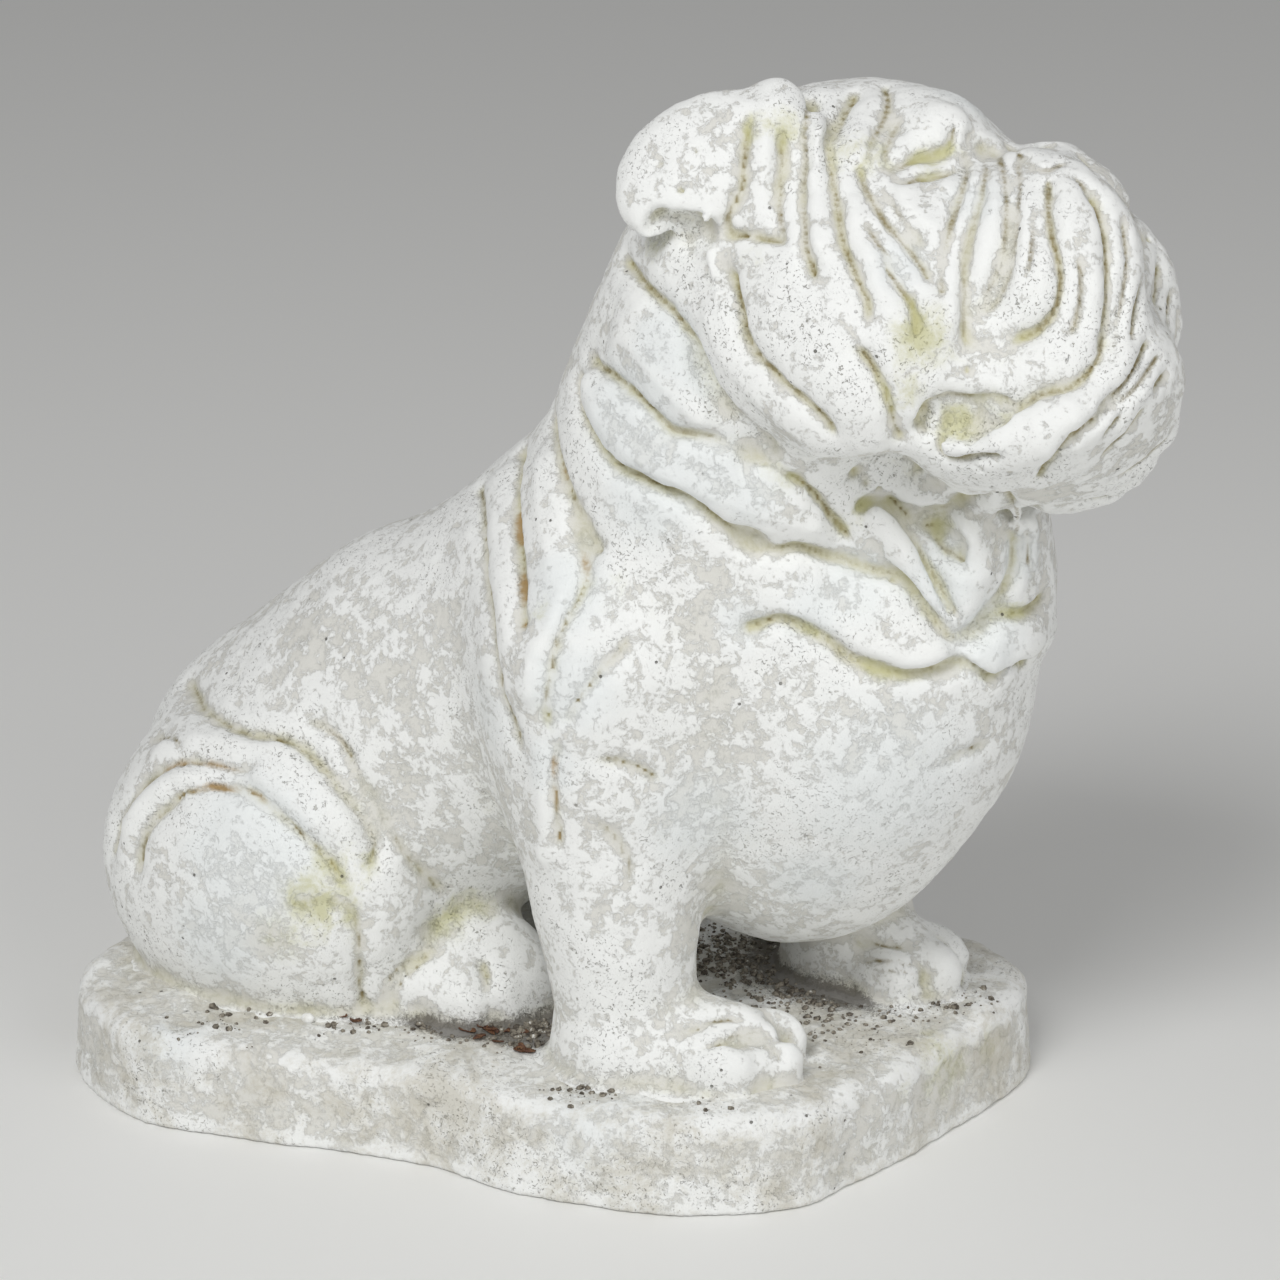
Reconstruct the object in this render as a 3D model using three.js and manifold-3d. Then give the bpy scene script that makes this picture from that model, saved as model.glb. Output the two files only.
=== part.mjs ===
// A seated bulldog garden statue, cast in one piece with its plinth. Millimetres.
// X points the way the dog faces, Y to its left, Z up; the origin is under the middle of the plinth.
import * as THREE from "three";
import { triTable } from "three/addons/objects/MarchingCubes.js";
import { mergeVertices } from "three/addons/utils/BufferGeometryUtils.js";
import Module from "manifold-3d";

// Driving dimensions.
const FIGURE_HEIGHT = 392; // from the top of the plinth to the top of the skull
const PLINTH_HEIGHT = 40;
const PLINTH_MARGIN = 7; // from the line of the feet and haunches to the plinth's wall
const PLINTH_EDGE = 8; // round of the plinth's upper edge
const FOOT_FILLET = 9; // round between the figure and the plinth
const ROOT_DEPTH = 9; // how far the figure reaches down into the plinth

// The figure is drawn in shares of its own height: 392 units high, standing at level 40.
const FIGURE_UNITS = 392;
const STAND_LEVEL = 40;
const UNIT = FIGURE_HEIGHT / FIGURE_UNITS;
const CELL = 5; // size of a clay cell, in units
const FIGURE_TRIANGLES = 7400;
const CLAY_LOW = [-230, -150, 20];
const CLAY_HIGH = [290, 170, 445];
const FAR = 60; // clay value far from any surface
const MIDLINE = 12; // the trunk's middle plane, across
const GRAIN = 0.8 * CELL; // the finest line that the clay can hold

// The carving is drawn on a plane square to one line of sight, as a sculptor marks a block.
const SIGHT_TARGET = [45, -10, 200];
const SIGHT_DISTANCE = 1500;
const SIGHT_AZIMUTH = THREE.MathUtils.degToRad(32);
const SIGHT_ELEVATION = THREE.MathUtils.degToRad(20);
const SIGHT_REACH = 400; // how far before and behind the target the clay is looked for
const SIGHT_STEP = 3;

// How the clay is worked, in units and shares.
const MASS_BAND = 28; // how far outside a mass its distances are worked out
const SNAP_TIMES = 6;
const SNAP_SHARE = 0.9; // share of the distance to the surface taken each time
const LINE_REACH = 4.6; // widths of a line, out to where it ends
const LINE_MARGIN = 9; // beyond the reach, for the length of a piece of the line
const LINE_CORE = 0.62; // share of the depth in the narrow core, the rest is in a wide skirt
const LINE_SHARPNESS = 1.6;
const LINE_SKIRT = 2.4; // width of the skirt, in widths of the line
const LINE_FADES = 5; // a line fades over one part in so many of its length at each end
const RUN_STEP = 4; // between the points of a cast line
const SURFACE_JUMP = 22; // a cast line breaks where the surface is further away than this
const HOLLOW_BLEND = 4;

// How the surface is drawn and thinned.
const CROSSING_LIMIT = 0.1; // nearest that a surface point comes to a grid point, in shares of a cell
const LENGTH_COST = 1e-3; // weight of an edge's length against its error
const FLAT_LIMIT = 1e-4; // below this share the planes round a point fix no single place
const TURN_LIMIT = 0.3; // smallest cosine between a face before and after a join
const SLIVER_LIMIT = 0.06; // smallest share of area to longest edge squared
const WELD = 1e-4; // points nearer than this are one point

const vec = (p) => new THREE.Vector3(...p);

// A turned frame: yaw to the left, pitch up, roll to the left, in degrees.
function turn([yaw, pitch, roll]) {
  const [y, p, r] = [yaw, pitch, roll].map(THREE.MathUtils.degToRad);
  return new THREE.Matrix4()
    .makeRotationZ(y)
    .multiply(new THREE.Matrix4().makeRotationY(-p))
    .multiply(new THREE.Matrix4().makeRotationX(r));
}

function frameAt(origin, angles) {
  return turn(angles).setPosition(vec(origin));
}

const BODY = frameAt([0, 0, 0], [0, 0, 0]);
const HEAD = frameAt([145, 15, 366], [18, 20, -30]);
const HEAD_INVERSE = HEAD.clone().invert();

// The clay is a grid of distances to the surface, negative inside.
class Clay {
  constructor(low, high, cell) {
    this.cell = cell;
    this.low = low;
    this.size = low.map((l, i) => Math.ceil((high[i] - l) / cell) + 1);
    this.data = new Float32Array(this.size[0] * this.size[1] * this.size[2]).fill(FAR);
  }

  index(i, j, k) {
    return (i * this.size[1] + j) * this.size[2] + k;
  }

  // Calls change(x, y, z, distance) for the grid points of a box and keeps what it returns.
  work(low, high, change) {
    const first = low.map((l, i) => Math.max(0, Math.floor((l - this.low[i]) / this.cell)));
    const last = high.map((h, i) => Math.min(this.size[i] - 1, Math.ceil((h - this.low[i]) / this.cell)));
    for (let i = first[0]; i <= last[0]; i++) {
      for (let j = first[1]; j <= last[1]; j++) {
        for (let k = first[2]; k <= last[2]; k++) {
          const at = this.index(i, j, k);
          const x = this.low[0] + i * this.cell;
          const y = this.low[1] + j * this.cell;
          const z = this.low[2] + k * this.cell;
          this.data[at] = change(x, y, z, this.data[at]);
        }
      }
    }
  }

  // An ellipsoid, added with a soft seam or taken away.
  ball(centre, radii, angles, blend, frame = BODY, away = false) {
    const place = frame.clone().multiply(frameAt(centre, angles));
    const e = place.elements;
    const reach = radii.reduce((most, r) => Math.max(most, r), 0) + MASS_BAND + blend;
    const middle = [e[12], e[13], e[14]];
    const low = middle.map((m) => m - reach);
    const high = middle.map((m) => m + reach);
    this.work(low, high, (x, y, z, d) => {
      const [dx, dy, dz] = [x - e[12], y - e[13], z - e[14]];
      const a = (dx * e[0] + dy * e[1] + dz * e[2]) / radii[0];
      const b = (dx * e[4] + dy * e[5] + dz * e[6]) / radii[1];
      const c = (dx * e[8] + dy * e[9] + dz * e[10]) / radii[2];
      const near = Math.hypot(a, b, c);
      const steep = Math.hypot(a / radii[0], b / radii[1], c / radii[2]) + 1e-9;
      const distance = (near * (near - 1)) / steep;
      return away ? softMax(d, -distance, blend) : softMin(d, distance, blend);
    });
  }

  // A round limb through points [x, y, z, radius].
  limb(points, blend, frame = BODY) {
    const spine = points.map((p) => vec(p.slice(0, 3)).applyMatrix4(frame));
    const radius = points.map((p) => p[3]);
    const reach = Math.max(...radius) + MASS_BAND + blend;
    const box = new THREE.Box3().setFromPoints(spine).expandByScalar(reach);
    this.work(box.min.toArray(), box.max.toArray(), (x, y, z, d) => {
      let distance = Infinity;
      for (let i = 0; i + 1 < spine.length; i++) {
        const [gap, share] = toSegment(x, y, z, spine[i], spine[i + 1]);
        distance = Math.min(distance, gap - radius[i] - (radius[i + 1] - radius[i]) * share);
      }
      return softMin(d, distance, blend);
    });
  }

  // The distance at a point between the grid points.
  sample(p) {
    const q = [p.x, p.y, p.z].map((c, i) => (c - this.low[i]) / this.cell);
    const [i, j, k] = q.map((c, n) => THREE.MathUtils.clamp(Math.floor(c), 0, this.size[n] - 2));
    const f = [q[0] - i, q[1] - j, q[2] - k].map((c) => THREE.MathUtils.clamp(c, 0, 1));
    let value = 0;
    for (let n = 0; n < 8; n++) {
      const [a, b, c] = [n & 1, (n >> 1) & 1, n >> 2];
      const share = (a ? f[0] : 1 - f[0]) * (b ? f[1] : 1 - f[1]) * (c ? f[2] : 1 - f[2]);
      value += share * this.data[this.index(i + a, j + b, k + c)];
    }
    return value;
  }

  // The direction out of the clay at a point.
  outward(p) {
    const slope = new THREE.Vector3();
    for (const axis of ["x", "y", "z"]) {
      const ahead = p.clone();
      const behind = p.clone();
      ahead[axis] += this.cell;
      behind[axis] -= this.cell;
      slope[axis] = this.sample(ahead) - this.sample(behind);
    }
    return slope.normalize();
  }

  // Moves a point onto the surface.
  snap(p) {
    const q = p.clone();
    for (let n = 0; n < SNAP_TIMES; n++) q.addScaledVector(this.outward(q), -SNAP_SHARE * this.sample(q));
    return q;
  }

  // The first place where a line of sight through (u, v) of the drawing plane meets the surface,
  // or where it misses the surface, the place where it passes nearest.
  sight(u, v) {
    const eye = vec(SIGHT_TARGET).addScaledVector(SIGHT.back, SIGHT_DISTANCE);
    const along = vec(SIGHT_TARGET).addScaledVector(SIGHT.right, u).addScaledVector(SIGHT.up, v);
    along.sub(eye).normalize();
    const at = (t) => eye.clone().addScaledVector(along, t);
    let nearest = { met: false, gap: Infinity, place: at(SIGHT_DISTANCE) };
    for (let t = SIGHT_DISTANCE - SIGHT_REACH; t < SIGHT_DISTANCE + SIGHT_REACH; t += SIGHT_STEP) {
      const gap = this.sample(at(t));
      if (gap < 0) {
        const before = this.sample(at(t - SIGHT_STEP));
        const place = at(t - SIGHT_STEP + (SIGHT_STEP * before) / (before - gap));
        return { met: true, gap: 0, place };
      }
      if (gap < nearest.gap) nearest = { met: false, gap, place: at(t) };
    }
    return nearest;
  }

  // A carved line, or with a negative depth a raised one, that fades out at its ends.
  line(path, width, depth) {
    const run = [0];
    for (let i = 1; i < path.length; i++) {
      run.push(run[i - 1] + path[i].distanceTo(path[i - 1]));
    }
    const length = run[run.length - 1];
    const reach = LINE_REACH * width;
    const box = new THREE.Box3().setFromPoints(path).expandByScalar(reach);
    this.work(box.min.toArray(), box.max.toArray(), (x, y, z, d) => {
      let least = Infinity;
      let place = 0;
      for (let i = 0; i + 1 < path.length; i++) {
        const far = reach + LINE_MARGIN;
        if (Math.abs(x - path[i].x) > far || Math.abs(z - path[i].z) > far) continue;
        const [gap, share] = toSegment(x, y, z, path[i], path[i + 1]);
        if (gap < least) {
          least = gap;
          place = (run[i] + (run[i + 1] - run[i]) * share) / length;
        }
      }
      if (least > reach) return d;
      const fade = THREE.MathUtils.smoothstep(Math.min(place, 1 - place) * LINE_FADES, 0, 1);
      const off = least / width;
      const core = LINE_CORE * Math.exp(-(off ** LINE_SHARPNESS));
      const skirt = (1 - LINE_CORE) * Math.exp(-((off / LINE_SKIRT) ** 2));
      return d + fade * depth * (core + skirt);
    });
  }
}

const SIGHT = sightAxes();

function sightAxes() {
  const [sin, cos] = [Math.sin, Math.cos];
  const [a, e] = [SIGHT_AZIMUTH, SIGHT_ELEVATION];
  const back = new THREE.Vector3(sin(a) * cos(e), -cos(a) * cos(e), sin(e));
  const right = new THREE.Vector3(cos(a), sin(a), 0);
  return { back, right, up: back.clone().cross(right) };
}

function softMin(a, b, blend) {
  if (blend <= 0) return Math.min(a, b);
  const h = Math.max(blend - Math.abs(a - b), 0) / blend;
  return Math.min(a, b) - (h * h * blend) / 4;
}

function softMax(a, b, blend) {
  return -softMin(-a, -b, blend);
}

function toSegment(x, y, z, a, b) {
  const [ux, uy, uz] = [b.x - a.x, b.y - a.y, b.z - a.z];
  const [px, py, pz] = [x - a.x, y - a.y, z - a.z];
  const along = (px * ux + py * uy + pz * uz) / (ux * ux + uy * uy + uz * uz);
  const share = THREE.MathUtils.clamp(along, 0, 1);
  return [Math.hypot(px - share * ux, py - share * uy, pz - share * uz), share];
}

const SIDES = [-1, 1]; // right and left

function trunk(clay) {
  clay.ball([-112, 0, 106], [90, 83, 76], [0, 14, 0], 0);
  clay.ball([-56, 4, 144], [84, 77, 84], [0, 28, 0], 30);
  clay.ball([18, 14, 186], [80, 80, 88], [0, 30, 0], 30);
  clay.ball([98, 30, 190], [95, 84, 98], [0, 0, 0], 30); // chest
  clay.ball([90, 32, 130], [66, 58, 62], [0, 0, 0], 24); // brisket
  clay.ball([50, -34, 186], [54, 42, 70], [0, 10, 0], 20); // right shoulder
  clay.ball([94, 82, 190], [50, 38, 66], [0, 10, 0], 20); // left shoulder
  clay.limb([[60, 12, 232, 78], [82, 10, 288, 75], [102, 10, 335, 74]], 30); // neck
  clay.limb([[150, 26, 304, 34], [152, 32, 268, 46], [150, 34, 240, 50]], 24); // dewlap
  clay.limb([[-184, 2, 98, 15], [-194, 6, 82, 10]], 8); // stub of the tail
}

function hindLegs(clay) {
  clay.ball([-106, -62, 86], [80, 50, 70], [0, 12, 0], 16);
  clay.ball([-106, 72, 86], [80, 46, 70], [0, 12, 0], 16);
  for (const side of SIDES) {
    clay.limb([[-60, MIDLINE + side * 76, 54, 28], [-16, MIDLINE + side * 62, 50, 21]], 8);
    for (const across of [66, 50]) {
      clay.ball([-1, MIDLINE + side * across, 48], [17, 10, 12], [0, 0, 0], 5);
    }
  }
}

function toes(clay, places, lift) {
  for (const [x, y, radius] of places) {
    clay.ball([x, y, 49], [radius * 1.25, radius * 0.8, radius], [lift, 0, 0], 4);
  }
}

function frontLegs(clay) {
  clay.limb([[50, -48, 205, 46], [54, -50, 140, 37], [60, -50, 92, 32], [63, -50, 62, 28], [64, -52, 46, 30]], 18);
  clay.limb([[92, 84, 205, 44], [92, 82, 130, 36], [92, 78, 80, 29], [96, 74, 50, 27]], 20);
  clay.limb([[70, -52, 44, 28], [108, -44, 46, 22]], 8);
  toes(clay, [[112, -60, 12.5], [122, -43, 14], [116, -26, 12.5]], 15);
  clay.limb([[98, 72, 46, 26], [122, 68, 46, 22]], 8);
  toes(clay, [[130, 52, 12], [138, 66, 13], [134, 82, 12]], 0);
}

function head(clay) {
  const add = (centre, radii, pitch, blend) => clay.ball(centre, radii, [0, pitch, 0], blend, HEAD);
  add([-16, 0, 10], [70, 66, 60], 0, 26); // skull
  for (const side of SIDES) {
    add([-8, side * 44, -32], [50, 32, 54], 8, 20); // cheek
    add([55, side * 26, -29], [40, 34, 46], 16, 16); // flew
    add([40, side * 26, -76], [46, 26, 28], 0, 12); // jaw
    add([26, side * 26, 26], [22, 20, 20], 0, 12); // brow
    add([34, side * 42, 25], [12, 9, 12], 0, 5); // eye
    ear(clay, side);
  }
  add([52, 0, -4], [36, 26, 27], 0, 14); // roll above the nose
  add([46, 0, -74], [50, 42, 31], 8, 14); // lower jaw
  add([62, 0, 11], [15, 17, 12], 30, 8); // nose
}

function ear(clay, side) {
  clay.ball([-48, side * 67, 30], [36, 13, 27], [-8 * side, 14, 0], 6, HEAD);
  clay.limb([[-20, side * 60, 50, 12], [-8, side * 62, 30, 9], [-6, side * 62, 6, 6]], 6, HEAD);
}

// Hollows on the head, each at a place of the drawing plane: under the ear, in the mouth, the nostril.
function hollows(clay) {
  const places = [
    [13, 160, [13, 12, 9], 2],
    [134, 88, [11, 12, 5], 2],
    [161, 198, [3.4, 4, 3.4], 0.5],
  ];
  for (const [u, v, radii, inward] of places) {
    const { met, place: seen } = clay.sight(u, v);
    const right = met ? seen : clay.snap(seen);
    for (const place of [right, clay.snap(acrossHead(right))]) {
      const centre = place.addScaledVector(clay.outward(place), -inward).applyMatrix4(HEAD_INVERSE);
      clay.ball(centre.toArray(), radii, [0, 0, 0], HOLLOW_BLEND, HEAD, true);
    }
  }
}

// The carved lines: width, depth and the points (u, v) of each on the drawing plane. A negative depth is a ridge.
// Rolls of the lip, the ear's front edge and the face.
const HEAD_RIDGES = [
  [5, -3, [[121, 89], [120.5, 82], [124, 77], [131, 76], [140, 77], [149, 82], [158, 87], [168, 92]]],
  [5, -2.6, [[50, 216], [50, 204], [49.5, 190], [48, 176], [47, 165]]],
  [4.5, -2.4, [[94, 203], [93, 193], [97, 183], [104, 172], [111, 162]]],
  [4.5, -2.4, [[72, 216], [71, 200], [68, 184], [68, 168], [72, 154]]],
  [5, -2.2, [[137, 196], [134, 182], [130, 168], [125, 157], [124, 146], [125, 134], [125, 122]]],
];
// Rolls of the neck, dewlap, elbow and haunch.
const BODY_RIDGES = [
  [8, -4, [[-21, 106], [-17, 92], [-8, 80], [5, 70], [20, 62], [38, 55], [56, 49], [74, 44]]],
  [8, -4, [[-8, 122], [0, 116], [9, 104], [20, 92], [31, 83], [44, 76]]],
  [6.5, -3, [[27, 134], [32, 118], [42, 104], [56, 90], [69, 78], [78, 66]]],
  [6, -4, [[92, 44], [99, 34], [107, 22], [116, 11], [126, 5]]],
  [6.5, -4, [[112, 48], [114, 38], [120, 24], [128, 12], [136, 12], [142, 24], [143, 38]]],
  [6, -3.5, [[153, 52], [154, 38], [152, 24], [150, 16]]],
  [7, -3.5, [[50, 14], [64, 10], [80, 3], [96, -5], [112, -8], [126, -5], [142, -9], [154, -4]]],
  [5.5, -4, [[-28, 24], [-35, 4], [-43, -10], [-44, -26]]],
  [4.5, -4, [[-39, -44], [-39.5, -60], [-40, -76], [-41, -90], [-45, -104]]],
  [6, -3, [[-56, 64], [-57, 40], [-55, 18], [-52, -6]]],
  [6, -3, [[-40, 72], [-39, 52], [-36, 34], [-35, 20]]],
  [7, -3.5, [[-205, -76], [-198, -64], [-186, -56], [-170, -53.5], [-154, -55], [-140, -65], [-128, -77]]],
  [7, -3, [[-190, -42], [-176, -40], [-160, -42], [-146, -44], [-134, -53], [-121, -66], [-115, -78]]],
];
// Brow, eye, cheek and the creases of the muzzle.
const FACE_LINES = [
  [2.4, 3.2, [[127, 208], [125.5, 201], [122, 197], [118, 192], [114.5, 189]]],
  [2.6, 3.6, [[103, 187], [109, 186.5], [115.5, 188], [123, 189], [127, 190]]],
  [2.2, 2.6, [[99.7, 190], [104, 182], [108, 174], [112, 167], [114.5, 159]]],
  [3, 4.2, [
    [87, 193], [89.5, 184], [93, 177], [99, 169.5], [105, 163], [112, 155], [116, 150], [118, 145.5],
    [119.5, 136], [119.5, 126],
  ]],
  [2.6, 3.4, [[88.6, 159], [94, 154], [100.6, 145.5], [107, 138], [111, 131], [112.6, 123], [113.5, 116]]],
  [2.4, 3, [[84, 152], [87, 145], [89.5, 138], [91, 134.5], [90.5, 126]]],
  [3, 4, [[132, 206], [130, 195], [129, 185], [127.5, 176], [124, 169], [118, 160], [115.5, 154]]],
  [2.6, 3.6, [
    [140.3, 201], [140, 187], [138.5, 174], [135, 164], [132, 157.5], [131, 146.5], [133, 138],
    [131.5, 127], [131, 117],
  ]],
  [2.6, 3.6, [
    [144, 201], [148, 196], [148.6, 187], [148, 174], [147.7, 164], [145, 156], [143, 147], [139.5, 141],
    [134, 138],
  ]],
  [2.2, 2.8, [
    [152, 189], [152.8, 181], [152, 169.5], [152, 159], [150.5, 150], [147.7, 143], [143, 136],
    [138.5, 133.5],
  ]],
  [3, 4.2, [
    [162.5, 191], [162, 181], [163, 170.5], [166, 161], [167.6, 155], [167.6, 145.5], [164, 135],
    [158, 126], [152, 122], [144, 119],
  ]],
  [2.4, 3, [
    [177, 182.5], [184, 174], [186.5, 167], [188, 159], [189, 148], [188, 136], [188, 124], [184.6, 115],
    [178, 108.6],
  ]],
  [2.2, 2.6, [[195, 163], [197.6, 152], [198.5, 144.6], [197.6, 135], [197, 127]]],
  [2, 2.2, [[203, 160], [201.7, 145.5], [200.8, 135], [200, 126]]],
  [2.2, 2.8, [[177, 160], [177, 147], [175.4, 136], [173.6, 126]]],
  [2.4, 3, [[211, 147], [213.5, 136], [213, 127], [210, 118], [204, 106], [198.5, 100], [185.6, 90]]],
  [2, 2.4, [[208, 129], [204, 120.6], [198.5, 110.4], [193, 103], [184.6, 94.7]]],
  [3, 4.4, [
    [65.2, 228], [67, 216.5], [63.6, 203.6], [60.4, 190.4], [57.2, 179], [58.8, 164.4], [64, 156],
    [68, 148], [70, 139],
  ]],
  [2.8, 3.8, [
    [81.6, 222], [79, 212], [77.5, 203.6], [77.5, 187], [79, 167.6], [83.5, 152], [88.5, 140],
    [90.5, 133], [89.7, 122],
  ]],
  [2.6, 3.6, [[97.9, 226], [101, 216], [96, 206.8], [89, 195], [88.5, 184], [93, 177]]],
  [2.2, 2.8, [[109, 220], [103, 212], [99.5, 203], [100, 192], [103, 184]]],
  [3.2, 4.4, [[81, 126], [85, 119], [92, 109], [98, 100], [101, 91], [102, 83], [105, 75], [110, 68]]],
  [2.4, 3, [[42.5, 209], [43, 200], [43, 190], [41.5, 181], [38, 174]]],
  [2.2, 2.6, [[56.5, 207], [57, 200], [55.5, 190], [54, 178], [54.5, 166]]],
  [2.6, 3.4, [[24, 169], [30, 169], [34.5, 164], [34, 158], [32, 150], [31, 140], [30.5, 127]]],
];
// Edges of the lips.
const LIP_LINES = [
  [2.6, 4, [[111.5, 85], [115.4, 89], [119.5, 93], [124, 95], [132, 94], [140, 93.5], [147, 93]]],
  [2.6, 4, [
    [118, 86], [117, 80], [119.5, 75], [123.5, 71.5], [128, 71], [140, 71.3], [147, 75.5], [153, 79],
  ]],
  [3, 4.5, [[147, 93], [156, 99], [166, 103], [176, 107]]],
];
// Collar folds, dewlap and the fold across the chest.
const NECK_LINES = [
  [3.6, 6, [
    [-10, 153], [-6.2, 148], [0, 140.5], [8.4, 136.8], [13, 129], [18.2, 120.5], [23, 107], [28, 97],
    [33, 88], [40, 80.5], [46, 76],
  ]],
  [3.2, 4.5, [
    [34, 140], [37, 128], [41.5, 117], [47.4, 110.8], [55, 102], [62, 95.5], [71, 88], [78, 80], [83, 71],
    [88, 62],
  ]],
  [4, 6.5, [
    [-19, 116], [-15, 109], [-8, 103.5], [0, 96.5], [8.7, 86], [14, 82], [24, 79.5], [33, 77.5],
    [41, 73.5], [50, 69], [58, 66], [64, 62.5], [71, 56], [78, 50],
  ]],
  [4.2, 7, [
    [-18, 121], [-24, 112], [-28, 100], [-28, 92.7], [-22, 82.5], [-15, 72], [-8, 66.5], [0.2, 61.5],
    [10, 56], [19, 52], [31, 44.9], [42, 37.5], [50, 32.5],
  ]],
  [3, 4, [[31, 46], [42, 42], [52, 40], [64, 38.5], [78, 36.5], [88, 34]]],
  [3.2, 4.5, [[50, 34], [62, 34.5], [72, 33.5], [84, 30.5], [92, 27.5], [102, 24]]],
  [3.4, 5.5, [
    [83.8, 50], [90, 54], [97.5, 57], [107.7, 52.6], [118, 48.4], [129.9, 55.2], [141.8, 58.5], [156, 62],
  ]],
  [3, 4.5, [[101, 24.4], [106, 18], [112.8, 10.8], [120, 4], [126, -0.5]]],
  [3, 4.5, [[132, 2.2], [140, 6.6], [145, 13], [148.5, 24], [150.4, 34.7], [149, 45], [145, 54]]],
  [3, 4.2, [[118, 48.3], [121, 43], [126, 34], [130, 27.9], [133, 20]]],
  [2.4, 3, [[101.5, 55], [104.5, 43.2], [109, 30], [115, 20], [121, 12]]],
  [2.4, 3.2, [[157, 56], [157, 44], [156.4, 30]]],
  [2.8, 4, [[143.6, 9.8], [150, 9.8], [156, 11], [161, 14.5], [164, 20]]],
  [3.4, 5, [
    [38, 4.5], [47, 7.2], [56.5, 7.4], [70, 2.3], [82, -4.6], [94, -11.4], [107.7, -15.7], [121.4, -12.5],
    [129.9, -10.8], [136, -13.5], [141.8, -17], [147, -13.5], [152, -10.8], [158, -10.6],
  ]],
  [2.2, 2, [[62, -1], [74, -8], [84, -14], [94, -17.5]]],
];
// Folds behind the shoulder and on the foreleg.
const SIDE_LINES = [
  [3.6, 6, [
    [-34, 84], [-32.5, 70], [-30, 60], [-26.5, 50], [-23, 42], [-20.5, 33], [-21.5, 23], [-26, 14],
    [-31, 6], [-34.8, -2.9], [-37, -14], [-38.2, -32],
  ]],
  [3.2, 5, [[-46, 88], [-49, 74], [-50.5, 60], [-51, 43.2], [-48.8, 24.4], [-47.6, 2.3]]],
  [3.6, 4, [
    [-62, 74], [-65, 60], [-63.5, 42], [-62, 20], [-59.5, 0], [-55.5, -20], [-51, -38], [-47, -54],
  ]],
  [2.6, 3, [[-4.9, 0.6], [-11.8, -9.6], [-20.4, -20], [-27, -32]]],
  [2.4, 2.2, [[-23, -51], [-20, -47.5], [-14, -45.6], [-5, -46.8], [2.7, -50], [9, -52]]],
  [2.2, 2.2, [[-24, -80], [-21.6, -87.6], [-15.2, -96.6]]],
  [3.4, 5, [[-31, -40], [-32.5, -52], [-33, -66], [-32.5, -80], [-35, -90], [-40.8, -100], [-43.5, -110]]],
  [3, 4, [[-44, -36], [-45, -50], [-46, -66], [-46.5, -84], [-46, -100]]],
  [2.8, 3, [[-28, -150], [-18, -151], [-8, -150], [1.4, -146.6], [10.3, -141.5], [19.2, -134]]],
];
// Folds over the haunch and the flank.
const HAUNCH_LINES = [
  [4, 5.5, [
    [-202, -92], [-201.5, -80], [-197, -72], [-190, -65], [-182, -61.5], [-172, -59], [-162, -58.8],
    [-153, -61.5], [-144.4, -69.5], [-136, -78], [-127, -86], [-119, -92],
  ]],
  [3.6, 5, [
    [-211, -84], [-207, -70], [-200, -59], [-191, -51.5], [-181, -47.5], [-171, -48], [-162.8, -50],
    [-153, -49.5],
  ]],
  [3.6, 5, [
    [-181, -19], [-176, -27], [-166.4, -34], [-155.4, -36.4], [-145.6, -38], [-137, -43], [-129.7, -49],
    [-121.5, -57], [-113.8, -67], [-109.5, -77], [-107, -88],
  ]],
  [3, 4, [[-135, -30], [-128, -34.5], [-121, -40], [-118, -46]]],
  [5, 5, [[-109, -60], [-104, -73.5], [-94, -83], [-83, -93], [-69.7, -104], [-56, -111], [-46, -115]]],
];
// Toes and the creases of the wrist.
const FOOT_LINES = [
  [2.2, 3, [[15, -158], [24, -154], [33, -150], [42, -150]]],
  [2.4, 4, [[20, -164], [30, -160], [38, -155.5], [47, -154], [55, -156]]],
  [2.4, 4, [[38, -168], [38, -162], [42, -158], [49, -158], [54, -162], [56, -168], [55, -173]]],
  [2.2, 3, [[57, -152], [61, -156], [63, -162]]],
  [2.4, 3.5, [[-65, -127], [-61, -133], [-62, -140]]],
  [2.2, 2.6, [[-98, -150], [-98, -141], [-93, -133], [-85, -127]]],
  [2, 2.2, [[86, -122], [98, -121], [108, -123]]],
  [2, 2.2, [[88, -128], [100, -127], [112, -129]]],
  [2, 2.2, [[92, -134], [104, -132], [116, -134]]],
  [2.2, 3, [[108, -147], [109, -141], [114, -137]]],
  [2.2, 3, [[122, -146], [122, -140], [126, -136]]],
];

// A smooth run of sight points through the points of a drawn line, RUN_STEP apart.
function smoothRun(points) {
  const flat = points.map(([u, v]) => new THREE.Vector2(u, v));
  const curve = new THREE.SplineCurve(flat);
  return curve.getPoints(Math.max(3, Math.ceil(curve.getLength() / RUN_STEP)));
}

// Casts a drawn line onto the clay; it breaks where the surface behind jumps away.
function castLine(clay, points) {
  const parts = [[]];
  for (const { x, y } of smoothRun(points)) {
    const { met, place } = clay.sight(x, y);
    if (!met) continue;
    const part = parts[parts.length - 1];
    if (part.length && part[part.length - 1].distanceTo(place) > SURFACE_JUMP) parts.push([place]);
    else part.push(place);
  }
  return parts.filter((part) => part.length > 1);
}

// Mirrors a point across the head's middle plane, or the trunk's.
const acrossHead = (p) => {
  const local = p.clone().applyMatrix4(HEAD_INVERSE);
  local.y = -local.y;
  return local.applyMatrix4(HEAD);
};
const acrossBody = (p) => new THREE.Vector3(p.x, 2 * MIDLINE - p.y, p.z);

function carve(clay, lines, across = null) {
  const cuts = [];
  for (const [width, depth, points] of lines) {
    for (const path of castLine(clay, points)) {
      cuts.push([path, width, depth]);
      if (across) cuts.push([path.map((p) => clay.snap(across(p))), width, depth]);
    }
  }
  for (const [path, width, depth] of cuts) clay.line(path, Math.max(width, GRAIN), depth);
}

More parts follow.
